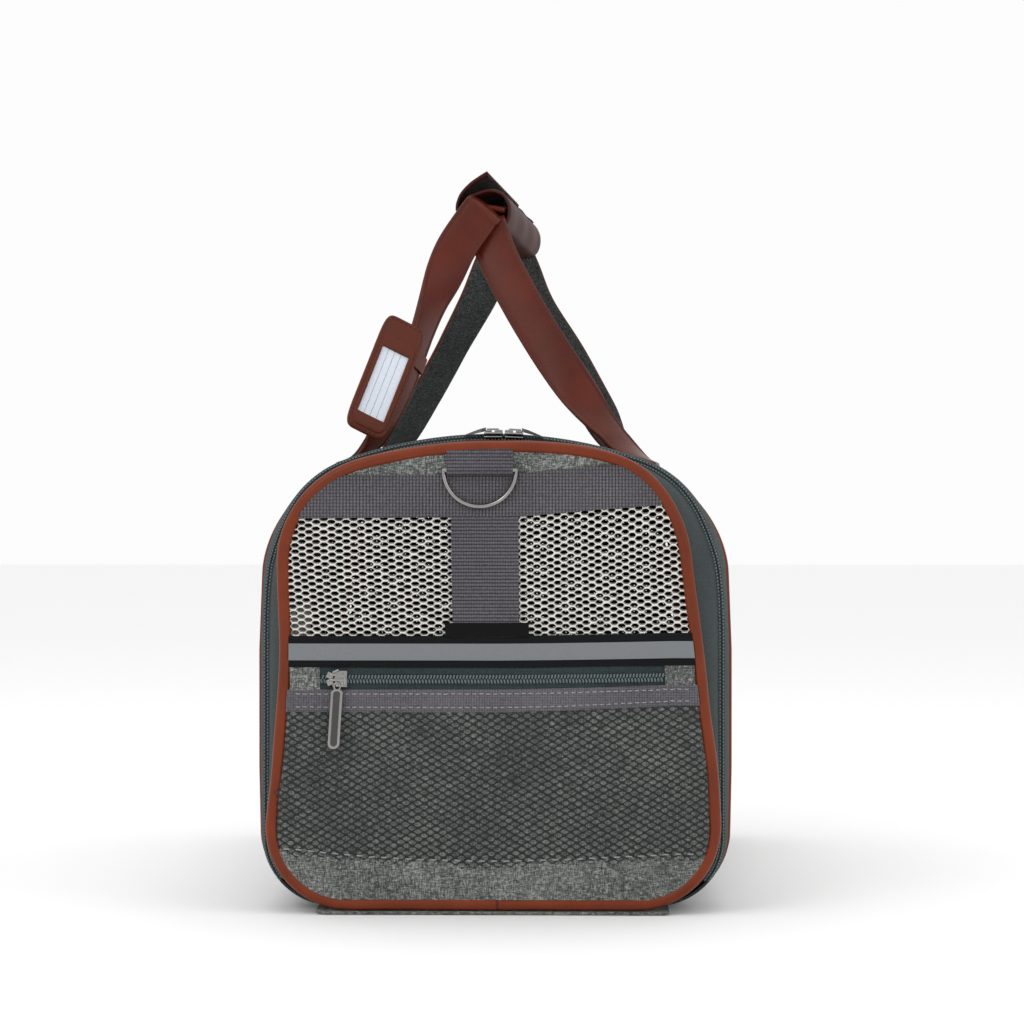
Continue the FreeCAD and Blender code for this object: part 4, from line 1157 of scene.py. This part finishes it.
def make_bed():
    """The fleece pad, puffed by a short cloth simulation."""
    low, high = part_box("fleece_bed")
    shrink = Vector((4 * MM, 4 * MM, 3 * MM))
    pad = rounded_slab("fleece_pad", low + shrink, high - shrink, 22 * MM, 3.5 * MM, FLEECE, "bag")
    remesh = pad.modifiers.new("remesh", "REMESH")
    remesh.mode = "VOXEL"
    remesh.voxel_size = 6 * MM
    bake(pad)
    cloth = pad.modifiers.new("cloth", "CLOTH")
    cloth.settings.use_pressure = True
    cloth.settings.uniform_pressure_force = 4
    cloth.settings.effector_weights.gravity = 0
    scene = bpy.context.scene
    before = np.array([vertex.co for vertex in pad.data.vertices])
    for step in range(1, 21):
        scene.frame_set(step)
    bake(pad)
    after = np.array([vertex.co for vertex in pad.data.vertices])
    moved = after - before
    size = np.linalg.norm(moved, axis=1, keepdims=True)
    after = before + moved * np.minimum(1, 6 * MM / np.maximum(size, 1e-9))
    pad.data.vertices.foreach_set("co", after.ravel())
    scene.frame_set(1)
    points = np.array([vertex.co for vertex in pad.data.vertices])
    quilt = 1.6 * MM * np.minimum(np.abs(np.sin(points[:, 0] * math.pi / 0.07)),
                                  np.abs(np.sin(points[:, 1] * math.pi / 0.085))) ** 0.5
    upper = points[:, 2] > (low.z + high.z) / 2
    points[:, 2] = np.clip(points[:, 2] + np.where(upper, quilt - 1.4 * MM, 0), low.z, high.z + 1 * MM)
    pad.data.vertices.foreach_set("co", points.ravel())
    smooth = pad.modifiers.new("smooth", "SUBSURF")
    smooth.levels = smooth.render_levels = 1
    pad.data.polygons.foreach_set("use_smooth", [True] * len(pad.data.polygons))
    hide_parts("fleece_bed")


def bake(thing):
    """Make the result of a piece's modifiers its own mesh."""
    bpy.context.view_layer.update()
    done = bpy.data.meshes.new_from_object(thing.evaluated_get(bpy.context.evaluated_depsgraph_get()))
    materials = list(thing.data.materials)
    thing.modifiers.clear()
    thing.data = done
    done.materials.clear()
    for item in materials:
        done.materials.append(item)


# Handles

HIDE_PROFILE = np.array([(-12.5, 0.1), (-12.6, 1.0), (-12.0, 1.8), (-11.2, 1.9), (-10.5, 1.35), (-9.6, 1.7),
                         (-7, 2.1), (-3, 2.35), (0, 2.4), (3, 2.35), (7, 2.1), (9.6, 1.7), (10.5, 1.35),
                         (11.2, 1.9), (12.0, 1.8), (12.6, 1.0), (12.5, 0.1), (11.9, -0.5),
                         (-11.9, -0.5)]) * MM
LINING_PROFILE = np.array([(-11.5, -0.3), (-11.7, -1.2), (-10.9, -1.7), (-5, -1.95), (0, -2.0), (5, -1.95),
                           (10.9, -1.7), (11.7, -1.2), (11.5, -0.3)]) * MM
LEGS = {
    ("right", -1): [(96.6, 258.2, 0), (90, 261.4, 5), (82, 266.5, 18), (73.5, 273, 32),
                    (67.5, 280, 36), (60, 288.5, 46), (50, 302, 68), (38.5, 319, 85), (27, 337, 90),
                    (13.5, 360, 90), (0.5, 385, 90), (-6, 401, 90), (-9, 411, 90)],
    ("left", -1): [(-98, 258.8, 0), (-89, 262.4, 0), (-80, 270, 12), (-72, 281, 24), (-61, 303, 26),
                   (-53, 325, 26), (-46.7, 345, 30), (-41, 362, 42), (-34.5, 378, 68), (-26.6, 395.5, 88),
                   (-14.5, 414, 90), (-10.5, 419, 90)],
    ("left", 1): [(-98, 258.8, 0), (-89, 262.4, 0), (-80, 270, 15), (-70, 283, 45), (-54, 309, 48),
                  (-43.5, 327, 48), (-33.5, 345, 50), (-18, 373, 65), (-8, 396, 88), (-3, 409, 90)],
    ("right", 1): [(98, 258.8, 0), (89, 262.4, 0), (80, 270, 15), (72, 281, 50), (59, 303, 90), (41, 335, 90),
                   (21, 366, 90), (11, 390, 90), (6, 402, 90)],
}


def leg_line(side, sign):
    """Smooth centre-line, width direction and outward direction of one handle leg."""
    route = LEGS[side, sign]
    bottom, top = route[0][1], route[-1][1]
    grip_end = 54 * MM
    start = 110 * MM
    gap = (10 if side == "left" else 4) * MM
    stations = []
    for x, z, twist in route:
        share = (z - bottom) / (top - bottom)
        y = start + (grip_end + gap - start) * share ** 1.05
        stations.append((x * MM, sign * y, z * MM, twist))
    x, z, _ = route[-1]
    stations.append(((x + (1.5 if side == "left" else 0)) * MM, sign * (grip_end - 6 * MM), (z + 3) * MM, 90))
    line = smooth_path(stations, 140)
    points, twist = line[:, :3], np.radians(np.clip(line[:, 3], 0, 90))[:, None]
    along = unit(np.gradient(points, axis=0))
    flat = along * (1, 0, 1)
    strength = np.linalg.norm(flat, axis=1)
    cross = np.cross((0, 1.0, 0), unit(flat))
    weak = np.nonzero(strength < 0.55)[0]
    if len(weak):
        cross[weak[0]:] = cross[max(weak[0] - 1, 0)]
    lengthwise = unit(np.array((0, 1.0, 0)) - along * along[:, [1]])
    width = unit(lengthwise * np.cos(twist) + cross * np.sin(twist))
    width = unit(width - along * np.sum(width * along, axis=1, keepdims=True))
    outward = np.cross(along, width)
    if outward[len(outward) // 2][1] * sign < 0:
        outward = -outward
    return points, width, outward, along


def make_legs():
    """The four handle legs: leather outside, heather inside, stitched."""
    for side in ("left", "right"):
        pieces = []
        for sign in (-1, 1):
            end = "front" if sign < 0 else "rear"
            points, width, outward, along = leg_line(side, sign)
            name = f"{side}_{end}_leg"
            hide = profile_sweep(name + "_leather", points, width, outward, HIDE_PROFILE, STRAP_HIDE, "bag",
                                 70)
            lining = profile_sweep(name + "_lining", points, width, outward, LINING_PROFILE, HEATHER_DARK,
                                   "bag", 70)
            made = [hide, lining]
            for edge, offset in (("a", -10.5 * MM), ("b", 10.5 * MM)):
                track, _ = even_path(points + width * offset + outward * 1.5 * MM, 3.4 * MM)
                normal = np.stack([np.interp(np.linspace(0, 1, len(track)), np.linspace(0, 1, len(points)),
                                             outward[:, axis]) for axis in range(3)], 1)
                made.append(capsules(f"{name}_stitches_{edge}", track[1:-1], np.gradient(track, axis=0)[1:-1],
                                     normal[1:-1], 2.3 * MM, 0.28 * MM, HIDE_THREAD, "bag", 0.7))
            pieces += made
        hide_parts(side + "_handle_legs")
        for item in pieces:
            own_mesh(item)


def make_anchors():
    """Leather patches sewn over the shoulder, from which the legs rise."""
    for side, sign in (("left", -1), ("right", 1)):
        for end in (-1, 1):
            name = f"{side}_{'front' if end < 0 else 'rear'}_anchor"
            centre = HULL.place_of(x=88 * MM)
            first, last = centre - 26 * MM, centre + 7 * MM
            whole = 2 * HULL.half_length
            places = (first, last) if sign > 0 else (whole - last, whole - first)
            y_span = (end * 110 * MM - 14 * MM, end * 110 * MM + 14 * MM)
            patch = wall_sheet(name + "_patch", places, y_span, 2.2 * MM, 2.0 * MM, STRAP_HIDE,
                               30, 24, 0.8 * MM)
            inner = 2.4 * MM
            a0, a1 = places[0] + inner, places[1] - inner
            b0, b1 = y_span[0] + inner, y_span[1] - inner
            loop = []
            for start, stop in (((a0, b0), (a0, b1)), ((a0, b1), (a1, b1)), ((a1, b1), (a1, b0)),
                                ((a1, b0), (a0, b0)), ((a0, b0), (a1, b1)), ((a0, b1), (a1, b0))):
                reach = math.dist(start, stop)
                steps = np.arange(1.5 * MM, reach - 1 * MM, 3.2 * MM) / reach
                loop.append(np.array(start) + steps[:, None] * (np.array(stop) - np.array(start)))
            spots = np.concatenate(loop)
            ahead = np.concatenate([part + 0.05 * MM * unit(np.array([part[-1] - part[0]])) for part in loop])
            centres = wall_point(spots[:, 0], spots[:, 1], 2.35 * MM)
            direction = wall_point(ahead[:, 0], ahead[:, 1], 2.35 * MM) - centres
            up = wall_point(spots[:, 0], spots[:, 1], 4 * MM) - centres
            capsules(name + "_stitches", centres, direction, up, 2.2 * MM, 0.3 * MM, HIDE_THREAD, "bag",
                     0.7)
        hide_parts(side + "_handle_anchors")


YAW = np.array([17.0, 0, -9.0]) * MM
WRAP_LINE = [(-21.5, 426.5), (-13, 430.3), (-5.5, 431.6), (1.5, 429), (5.2, 422.5), (5.0, 415), (1.5, 409.8),
             (-8, 407.6), (-19, 409), (-25, 413.3), (-27, 419)]
FLAP_LINE = [(-27.1, 419.3), (-26.6, 424), (-24.2, 430), (-19, 435.6), (-13, 439.8), (-8, 443)]


def rolled_strip(name, line, inner, outer, half, material, body, start_share=0.0, end_share=1.0):
    """A bent sheet running along Y, between two offsets from its centre-line, yawed like the handle."""
    path = smooth_path([(x * MM, z * MM) for x, z in line], 90)
    path = path[int(89 * start_share): int(89 * end_share) + 1]
    along = unit(np.gradient(path, axis=0))
    normal = np.stack([-along[:, 1], along[:, 0]], 1)
    y = np.concatenate([[-half], np.linspace(-half + 1 * MM, half - 1 * MM, 46), [half]])
    grids = []
    for offset in (outer, inner):
        soft = np.where((y <= -half + 0.1 * MM) | (y >= half - 0.1 * MM), 0.55, 1.0)
        middle = (outer + inner) / 2
        reach = middle + (offset - middle) * soft
        spots = path[:, None] + normal[:, None] * reach[None, :, None]
        share = ((y + half) / (2 * half))[None, :, None] * np.ones((len(path), 1, 1))
        along_wave = np.sin(y * 170)[None, :, None]
        wrinkle = 0.35 * MM * along_wave * np.sin(np.arange(len(path)) * 0.11)[:, None, None]
        level = np.broadcast_to(y[None, :, None], share.shape)
        solid = np.concatenate([spots[..., [0]], level, spots[..., [1]]], -1)
        normal3 = np.stack([normal[:, 0], np.zeros(len(path)), normal[:, 1]], 1)[:, None]
        grids.append(solid + share * YAW + wrinkle * normal3)
    vertices, faces = slab(*grids)
    return tidy_normals(make(name, vertices, faces, material, body, 50))


def make_wrap():
    """The leather wrap that joins the handles, and its hook-and-loop flap."""
    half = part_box("handle_wrap")[1].y
    wrap = rolled_strip("wrap_leather", WRAP_LINE, -1.1 * MM, 1.1 * MM, half, WRAP_HIDE, "grip")
    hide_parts("handle_wrap")
    flap = rolled_strip("flap_leather", FLAP_LINE, -1.0 * MM, 1.2 * MM, half, WRAP_HIDE, "flap")
    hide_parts("wrap_flap")
    rolled_strip("flap_hook_patch", FLAP_LINE, -2.0 * MM, -0.9 * MM, half - 3 * MM, VELCRO, "flap",
                 0.22, 0.97)
    rolled_strip("wrap_loop_patch", WRAP_LINE, 1.0 * MM, 1.8 * MM, half - 4 * MM, VELCRO, "grip",
                 0.06, 0.3)
    for side, z in (("left", 421.3), ("right", 414.6)):
        line = [(-21, z + 1.2), (-15, z + 1.0), (-8, z + 0.2), (0, z - 1.2), (2.5, z - 1.8)]
        grip = rolled_strip(f"{side}_grip_strap", line, -1.8 * MM, 1.8 * MM, half - 1 * MM, STRAP_HIDE,
                               "grip")
        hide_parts(side + "_handle_grip")


# Luggage tag

def tag_axes():
    """Middle and directions of the tag, from its joint and its box."""
    low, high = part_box("tag_holder")
    middle = np.array((low + high) / 2)
    swing = next(joint for joint in frame["joints"] if joint["name"] == "tag_swing")
    across = -np.array(swing["axis"], float)
    across /= np.linalg.norm(across)
    hinge = np.array(swing["pos_m"], float)
    along = hinge - middle
    along -= across * along.dot(across)
    along /= np.linalg.norm(along)
    outward = np.cross(across, along)
    turn = math.radians(18)
    turned = across * math.cos(turn) - outward * math.sin(turn)
    return middle - 2.5 * MM * along + 3 * MM * outward, turned, along, np.cross(turned, along)


def make_tag():
    """The luggage tag with its window and ruled card."""
    middle, across, along, outward = tag_axes()

    def place(u, v, n):
        """Tag coordinates: across, along and outward, with a slight curl."""
        u, v, n = np.broadcast_arrays(u, v, n)
        curl = n + 1.0 * MM * np.cos(v * 30) + 0.5 * MM * (u / 0.014) ** 2 - 1.0 * MM
        return middle + u[..., None] * across + v[..., None] * along + curl[..., None] * outward

    half_wide, half_long = 14 * MM, 39 * MM

    def rounded_plate(name, wide, long, shift, depth, thickness, material, hole=None):
        """A plate with round corners and, if asked, a rectangular window."""
        count = 96
        angle = np.linspace(0, 2 * math.pi, count, endpoint=False) + 1e-4
        power = 7.0
        outline = np.stack([np.sign(np.cos(angle)) * np.abs(np.cos(angle)) ** (2 / power) * wide,
                            np.sign(np.sin(angle)) * np.abs(np.sin(angle)) ** (2 / power) * long + shift], 1)
        if hole is None:
            inner = outline * (0.02, 0.02) + (0, shift * 0.98)
        else:
            reach = np.maximum(np.abs(np.cos(angle)), np.abs(np.sin(angle)))
            inner = np.stack([np.clip(np.cos(angle) / reach, -1, 1) * hole[0],
                              np.clip(np.sin(angle) / reach, -1, 1) * hole[1] + hole[2]], 1)
        shares = np.array([0, 0.03, 0.10, 0.3, 0.55, 0.8, 0.97, 1.0])
        lift = np.array([-0.5, 0.0, 0.25, 0.35, 0.35, 0.3, 0.1, -0.4]) * MM
        rings = [outline * (1 - share) + inner * share for share in shares]
        front = np.stack([place(ring[:, 0], ring[:, 1], depth + rise) for ring, rise in zip(rings, lift)])
        back = np.stack([place(ring[:, 0], ring[:, 1], depth - thickness) for ring in rings])
        loop = np.concatenate([front, back[::-1]])
        rows = len(loop)
        faces = grid_faces(rows, count, True, True)
        return tidy_normals(make(name, loop.reshape(-1, 3), faces, material, "tag", 55))

    window = (9 * MM, 22.5 * MM, -5 * MM)
    holder = rounded_plate("tag_leather", half_wide, half_long, 0.0, 0.3 * MM, 1.4 * MM, TAG_HIDE, window)
    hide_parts("tag_holder")
    rounded_plate("tag_back_leather", half_wide - 0.4 * MM, half_long - 0.4 * MM, 0.0, -1.2 * MM,
                  1.2 * MM, TAG_HIDE)
    rounded_plate("tag_pocket_edge", half_wide - 2.2 * MM, 31 * MM, -5.2 * MM, 0.9 * MM, 0.8 * MM,
                  TAG_HIDE, window)
    u, v = np.meshgrid(np.linspace(-9.6, 9.6, 14) * MM, np.linspace(-28, 18, 30) * MM, indexing="ij")
    vertices, faces = slab(place(u, v, np.full(u.shape, -0.4 * MM)), place(u, v, np.full(u.shape, -0.9 * MM)))
    card = tidy_normals(make("tag_card_paper", vertices, faces, CARD, "tag"))
    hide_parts("tag_card")
    for index, offset in enumerate((-4.6, -0.4, 3.8)):
        rule = np.linspace(-27.2, 17.2, 30) * MM
        path = place(np.full(30, offset * MM), rule, np.full(30, -0.34 * MM))
        tube(f"card_rule_{index}", path, 0.16 * MM, CARD_INK, "tag", False, 6)
    border = []
    for u0, v0, u1, v1 in ((-1, -1, 1, -1), (1, -1, 1, 1), (1, 1, -1, 1), (-1, 1, -1, -1)):
        wide, long = half_wide - 1.9 * MM, half_long - 1.9 * MM
        length = 2 * (wide if u0 != u1 else long)
        steps = np.arange(3 * MM, length - 2 * MM, 3.1 * MM) / length
        start, end = np.array((u0 * wide, v0 * long)), np.array((u1 * wide, v1 * long))
        border.append(start + steps[:, None] * (end - start))
    spots = np.concatenate(border)
    ahead = np.concatenate([part + 0.05 * MM * unit(np.array([part[-1] - part[0]])) for part in border])
    centres = place(spots[:, 0], spots[:, 1], np.full(len(spots), 0.75 * MM))
    direction = place(ahead[:, 0], ahead[:, 1], np.full(len(spots), 0.75 * MM)) - centres
    capsules("tag_stitches", centres, direction, np.tile(outward, (len(spots), 1)), 2.0 * MM, 0.26 * MM,
             HIDE_THREAD, "tag", 0.7)
    make_tag_strap(middle, along)


def make_tag_strap(middle, along):
    """The short strap behind the tag's top, round the handle leg."""
    points, width, normal, direction = leg_line("left", -1)
    target = middle + along * 22 * MM
    nearest = int(np.argmin(np.linalg.norm(points - target, axis=1)))
    centre, w, n, t = (part[nearest] for part in (points, width, normal, direction))
    angle = np.linspace(0, 2 * math.pi, 48, endpoint=False)
    power = 0.35
    loop = (centre + np.sign(np.cos(angle))[:, None] * np.abs(np.cos(angle))[:, None] ** power * w * 13.8 * MM
            + np.sign(np.sin(angle))[:, None] * np.abs(np.sin(angle))[:, None] ** power * n * 3.4 * MM)
    strip = []
    for offset in (-5 * MM, 5 * MM):
        strip.append(loop + t * offset)
    outer = np.stack(strip, 1)
    inner = centre + t * 0 + (outer - centre) - unit(loop - centre)[:, None] * 1.2 * MM
    vertices, faces = slab(outer, inner, True)
    band = tidy_normals(make("tag_strap_leather", vertices, faces, TAG_HIDE, "tag_tie"))
    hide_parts("tag_strap")


# Sliders and pulls

def local_box(name, pieces_at, material, body, bevel=0.4 * MM, levels=2):
    """Bevelled bars from (centre, size, turn about Y) entries, joined in one piece."""
    work = bmesh.new()
    for centre, size, turn in pieces_at:
        made = bmesh.ops.create_cube(work, size=1)["verts"]
        cos, sin = math.cos(turn), math.sin(turn)
        for vertex in made:
            x, y, z = (vertex.co[axis] * size[axis] for axis in range(3))
            vertex.co = Vector((centre[0] + x * cos + z * sin, centre[1] + y, centre[2] - x * sin + z * cos))
        edges = {edge for vertex in made for edge in vertex.link_edges}
        bmesh.ops.bevel(work, geom=list(edges), offset=min(bevel, min(size) * 0.3), segments=levels,
                        affect="EDGES", profile=0.5)
    mesh = bpy.data.meshes.new(name)
    work.to_mesh(mesh)
    work.free()
    mesh.polygons.foreach_set("use_smooth", [True] * len(mesh.polygons))
    mesh.materials.append(material)
    mesh.set_sharp_from_angle(angle=math.radians(50))
    thing = bpy.data.objects.new(name, mesh)
    bpy.context.scene.collection.objects.link(thing)
    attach(thing, body)
    return thing


def make_pocket_slider():
    """The pocket zip slider and its long pull."""
    low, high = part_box("pocket_slider")
    x, z = (low.x + high.x) / 2, (low.z + high.z) / 2
    back = high.y
    plate_y = back - 0.7 * MM
    slider = local_box("pocket_slider_metal", [
        ((x + 1.4 * MM, plate_y, z), (8.5 * MM, 1.4 * MM, 9.4 * MM), 0),
        ((x - 3.6 * MM, plate_y, z + 1.6 * MM), (5.2 * MM, 1.4 * MM, 3.6 * MM), 0.45),
        ((x - 3.6 * MM, plate_y, z - 1.6 * MM), (5.2 * MM, 1.4 * MM, 3.6 * MM), -0.45),
        ((x, plate_y - 1.3 * MM, z + 2.1 * MM), (9 * MM, 1.0 * MM, 1.5 * MM), 0.12),
        ((x, plate_y - 1.3 * MM, z - 0.6 * MM), (9 * MM, 1.0 * MM, 1.5 * MM), 0),
        ((x + 4.3 * MM, plate_y - 0.9 * MM, z), (1.6 * MM, 1.6 * MM, 7.5 * MM), 0),
        ((x - 1.0 * MM, plate_y - 0.9 * MM, z + 4.3 * MM), (4.2 * MM, 1.5 * MM, 1.3 * MM), -0.5)],
        DARKENED_CHROME, "pocket_slider_body")
    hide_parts("pocket_slider")
    pull_low, pull_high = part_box("pocket_pull")
    middle = np.array(((pull_low.x + pull_high.x) / 2, (pull_low.y + pull_high.y) / 2))
    tilt = 2.2 * MM
    radius = (pull_high.x - pull_low.x) / 2

    def plate(name, inset, depth, thickness, material):
        angle = np.linspace(0, 2 * math.pi, 64, endpoint=False)
        wide = radius - inset
        upper, lower = pull_high.z - radius, pull_low.z + radius
        px = wide * np.cos(angle)
        pz = np.where(np.sin(angle) > 0, upper + 0.8 * wide * np.sin(angle), lower + wide * np.sin(angle))
        lean = -tilt * (pull_high.z - pz) / (pull_high.z - pull_low.z)
        rings = []
        for scale, y in ((0.0, 0.0), (0.75, 0.0), (0.93, 0.08), (1.0, 0.3), (1.0, 0.7), (0.93, 0.95),
                         (0.0, 1.0)):
            zc = (upper + lower) / 2
            rings.append(np.stack([middle[0] + px * scale + lean,
                                   middle[1] + depth - thickness / 2 + y * thickness
                                   + 0 * px, zc + (pz - zc) * (scale if scale > 0.5 else 0.5)], 1))
        faces = grid_faces(len(rings), 64, False, True).tolist()
        faces += [list(range(64)), [6 * 64 + 63 - index for index in range(64)]]
        return tidy_normals(make(name, np.concatenate(rings), faces, material, "pocket_pull_body",
                                 50))
    pull = plate("pocket_pull_metal", 0.0, 0.0, 1.5 * MM, DARKENED_CHROME)
    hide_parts("pocket_pull")
    plate("pocket_pull_inlay", 1.5 * MM, -0.62 * MM, 0.5 * MM, DARK_METAL)
    eye = np.array([(middle[0] + 1.7 * MM * math.cos(a), middle[1] + 0.1 * MM,
                     pull_high.z + 0.6 * MM + 2.2 * MM
                     * math.sin(a)) for a in np.linspace(0, 2 * math.pi, 24, endpoint=False)])
    tube("pocket_pull_eye", eye, 0.6 * MM, DARKENED_CHROME, "pocket_pull_body", True, 8)


def make_door_sliders():
    """The two door sliders on the crown and their tapered pulls."""
    crown = HULL.height - 270 * MM
    for side, sign in (("left", -1), ("right", 1)):
        def on_crown(angle, lift):
            turn = math.radians(1.27 + sign * angle)
            radius = 270 * MM + lift
            return (radius * math.sin(turn), -ZIP_STATION, crown + radius * math.cos(turn)), turn
        parts = []
        for angle, lift, size in ((1.3, -1.9 * MM, (10.5, 8.6, 1.3)), (1.3, -4.0 * MM, (10.5, 7.6, 1.0)),
                                  (0.75, -0.6 * MM, (3.6, 5.2, 1.6)), (1.9, -0.5 * MM, (4.0, 4.2, 1.2)),
                                  (1.35, 0.5 * MM, (7.0, 2.6, 1.0)), (0.3, -1.4 * MM, (1.6, 3.8, 3.0))):
            centre, turn = on_crown(angle, lift)
            parts.append((centre, tuple(part * MM for part in size), turn))
        slider = local_box(f"door_slider_{side}_metal", parts, DARKENED_CHROME, f"door_slider_{side}_body")
        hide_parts(f"door_slider_{side}")
        angles = np.linspace(2.2, 5.0, 14)
        width = np.interp(angles, (2.2, 2.6, 3.0, 4.6, 5.0), (2.4, 3.3, 3.0, 2.2, 0.6)) * MM
        height = np.interp(angles, (2.2, 3.0, 5.0), (2.2, 2.0, 0.7)) * MM
        rings = []
        for angle, wide, tall in zip(angles, width, height):
            (x, y, z), turn = on_crown(angle, (-0.6 - 0.9 * (angle - 2.2)) * MM)
            out = np.array((math.sin(turn), 0, math.cos(turn)))
            base = np.array((x, y, z))
            rings.append([base + (0, -wide, 0), base + (0, -wide * 0.8, 0) + out * tall * 0.8,
                          base + out * tall,
                          base + (0, wide * 0.8, 0) + out * tall * 0.8, base + (0, wide, 0)])
        rings = np.array(rings)
        faces = grid_faces(len(rings), 5, False, True).tolist()
        faces += [list(range(5)), [13 * 5 + 4 - index for index in range(5)]]
        pull = tidy_normals(make(f"door_pull_{side}_metal", rings.reshape(-1, 3), faces, DARK_METAL,
                                 f"door_pull_{side}_body", 35))
        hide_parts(f"door_pull_{side}")


# Studio

FLOOR_REACH = 12.0
WORLD_GLOW = 0.98
# Place, size and power of each lamp.
LAMPS = {
    "key": ((-1.3, -1.9, 1.9), 1.2, 12),
    "fill": ((1.9, -1.5, 1.1), 1.4, 5),
    "top": ((0.0, 0.2, 2.3), 1.6, 7),
}
LAMP_TARGET = (0, 0, 0.15)
CAMERA_PLACE = (0.053, -2.0285, 0.230)
CAMERA_LENS = 110.6
CAMERA_YAW = math.radians(1.33)


def make_studio():
    """A pale floor, a white world, three soft lamps and a level camera facing the door."""
    floor = bpy.data.meshes.new("studio_floor")
    corners = [(x * FLOOR_REACH, y * FLOOR_REACH, 0) for x, y in ((-1, -1), (1, -1), (1, 1), (-1, 1))]
    floor.from_pydata(corners, [], [(0, 1, 2, 3)])
    floor.materials.append(FLOOR)
    plane = bpy.data.objects.new("studio_floor", floor)
    bpy.context.scene.collection.objects.link(plane)
    world = bpy.data.worlds.new("studio")
    world.use_nodes = True
    backdrop = world.node_tree.nodes["Background"]
    backdrop.inputs[0].default_value = (1, 1, 1, 1)
    backdrop.inputs[1].default_value = WORLD_GLOW
    bpy.context.scene.world = world
    for name, (place, size, power) in LAMPS.items():
        light = bpy.data.lights.new(name, "AREA")
        light.energy = power
        light.size = size
        lamp = bpy.data.objects.new(name, light)
        lamp.location = place
        lamp.rotation_euler = (Vector(LAMP_TARGET) - Vector(place)).to_track_quat("-Z", "Y").to_euler()
        bpy.context.scene.collection.objects.link(lamp)
    camera = bpy.data.cameras.new("camera")
    camera.lens = CAMERA_LENS
    camera.sensor_width = 36
    eye = bpy.data.objects.new("camera", camera)
    eye.location = CAMERA_PLACE
    eye.rotation_euler = (math.radians(90), 0, CAMERA_YAW)
    bpy.context.scene.collection.objects.link(eye)
    bpy.context.scene.camera = eye
    bpy.context.scene.view_settings.view_transform = "Standard"


make_door_face()
make_rear_face()
make_bands_and_collars()
make_door_zip()
make_walls()
make_base()
make_bed()
make_legs()
make_anchors()
make_wrap()
make_tag()
make_pocket_slider()
make_door_sliders()
make_studio()
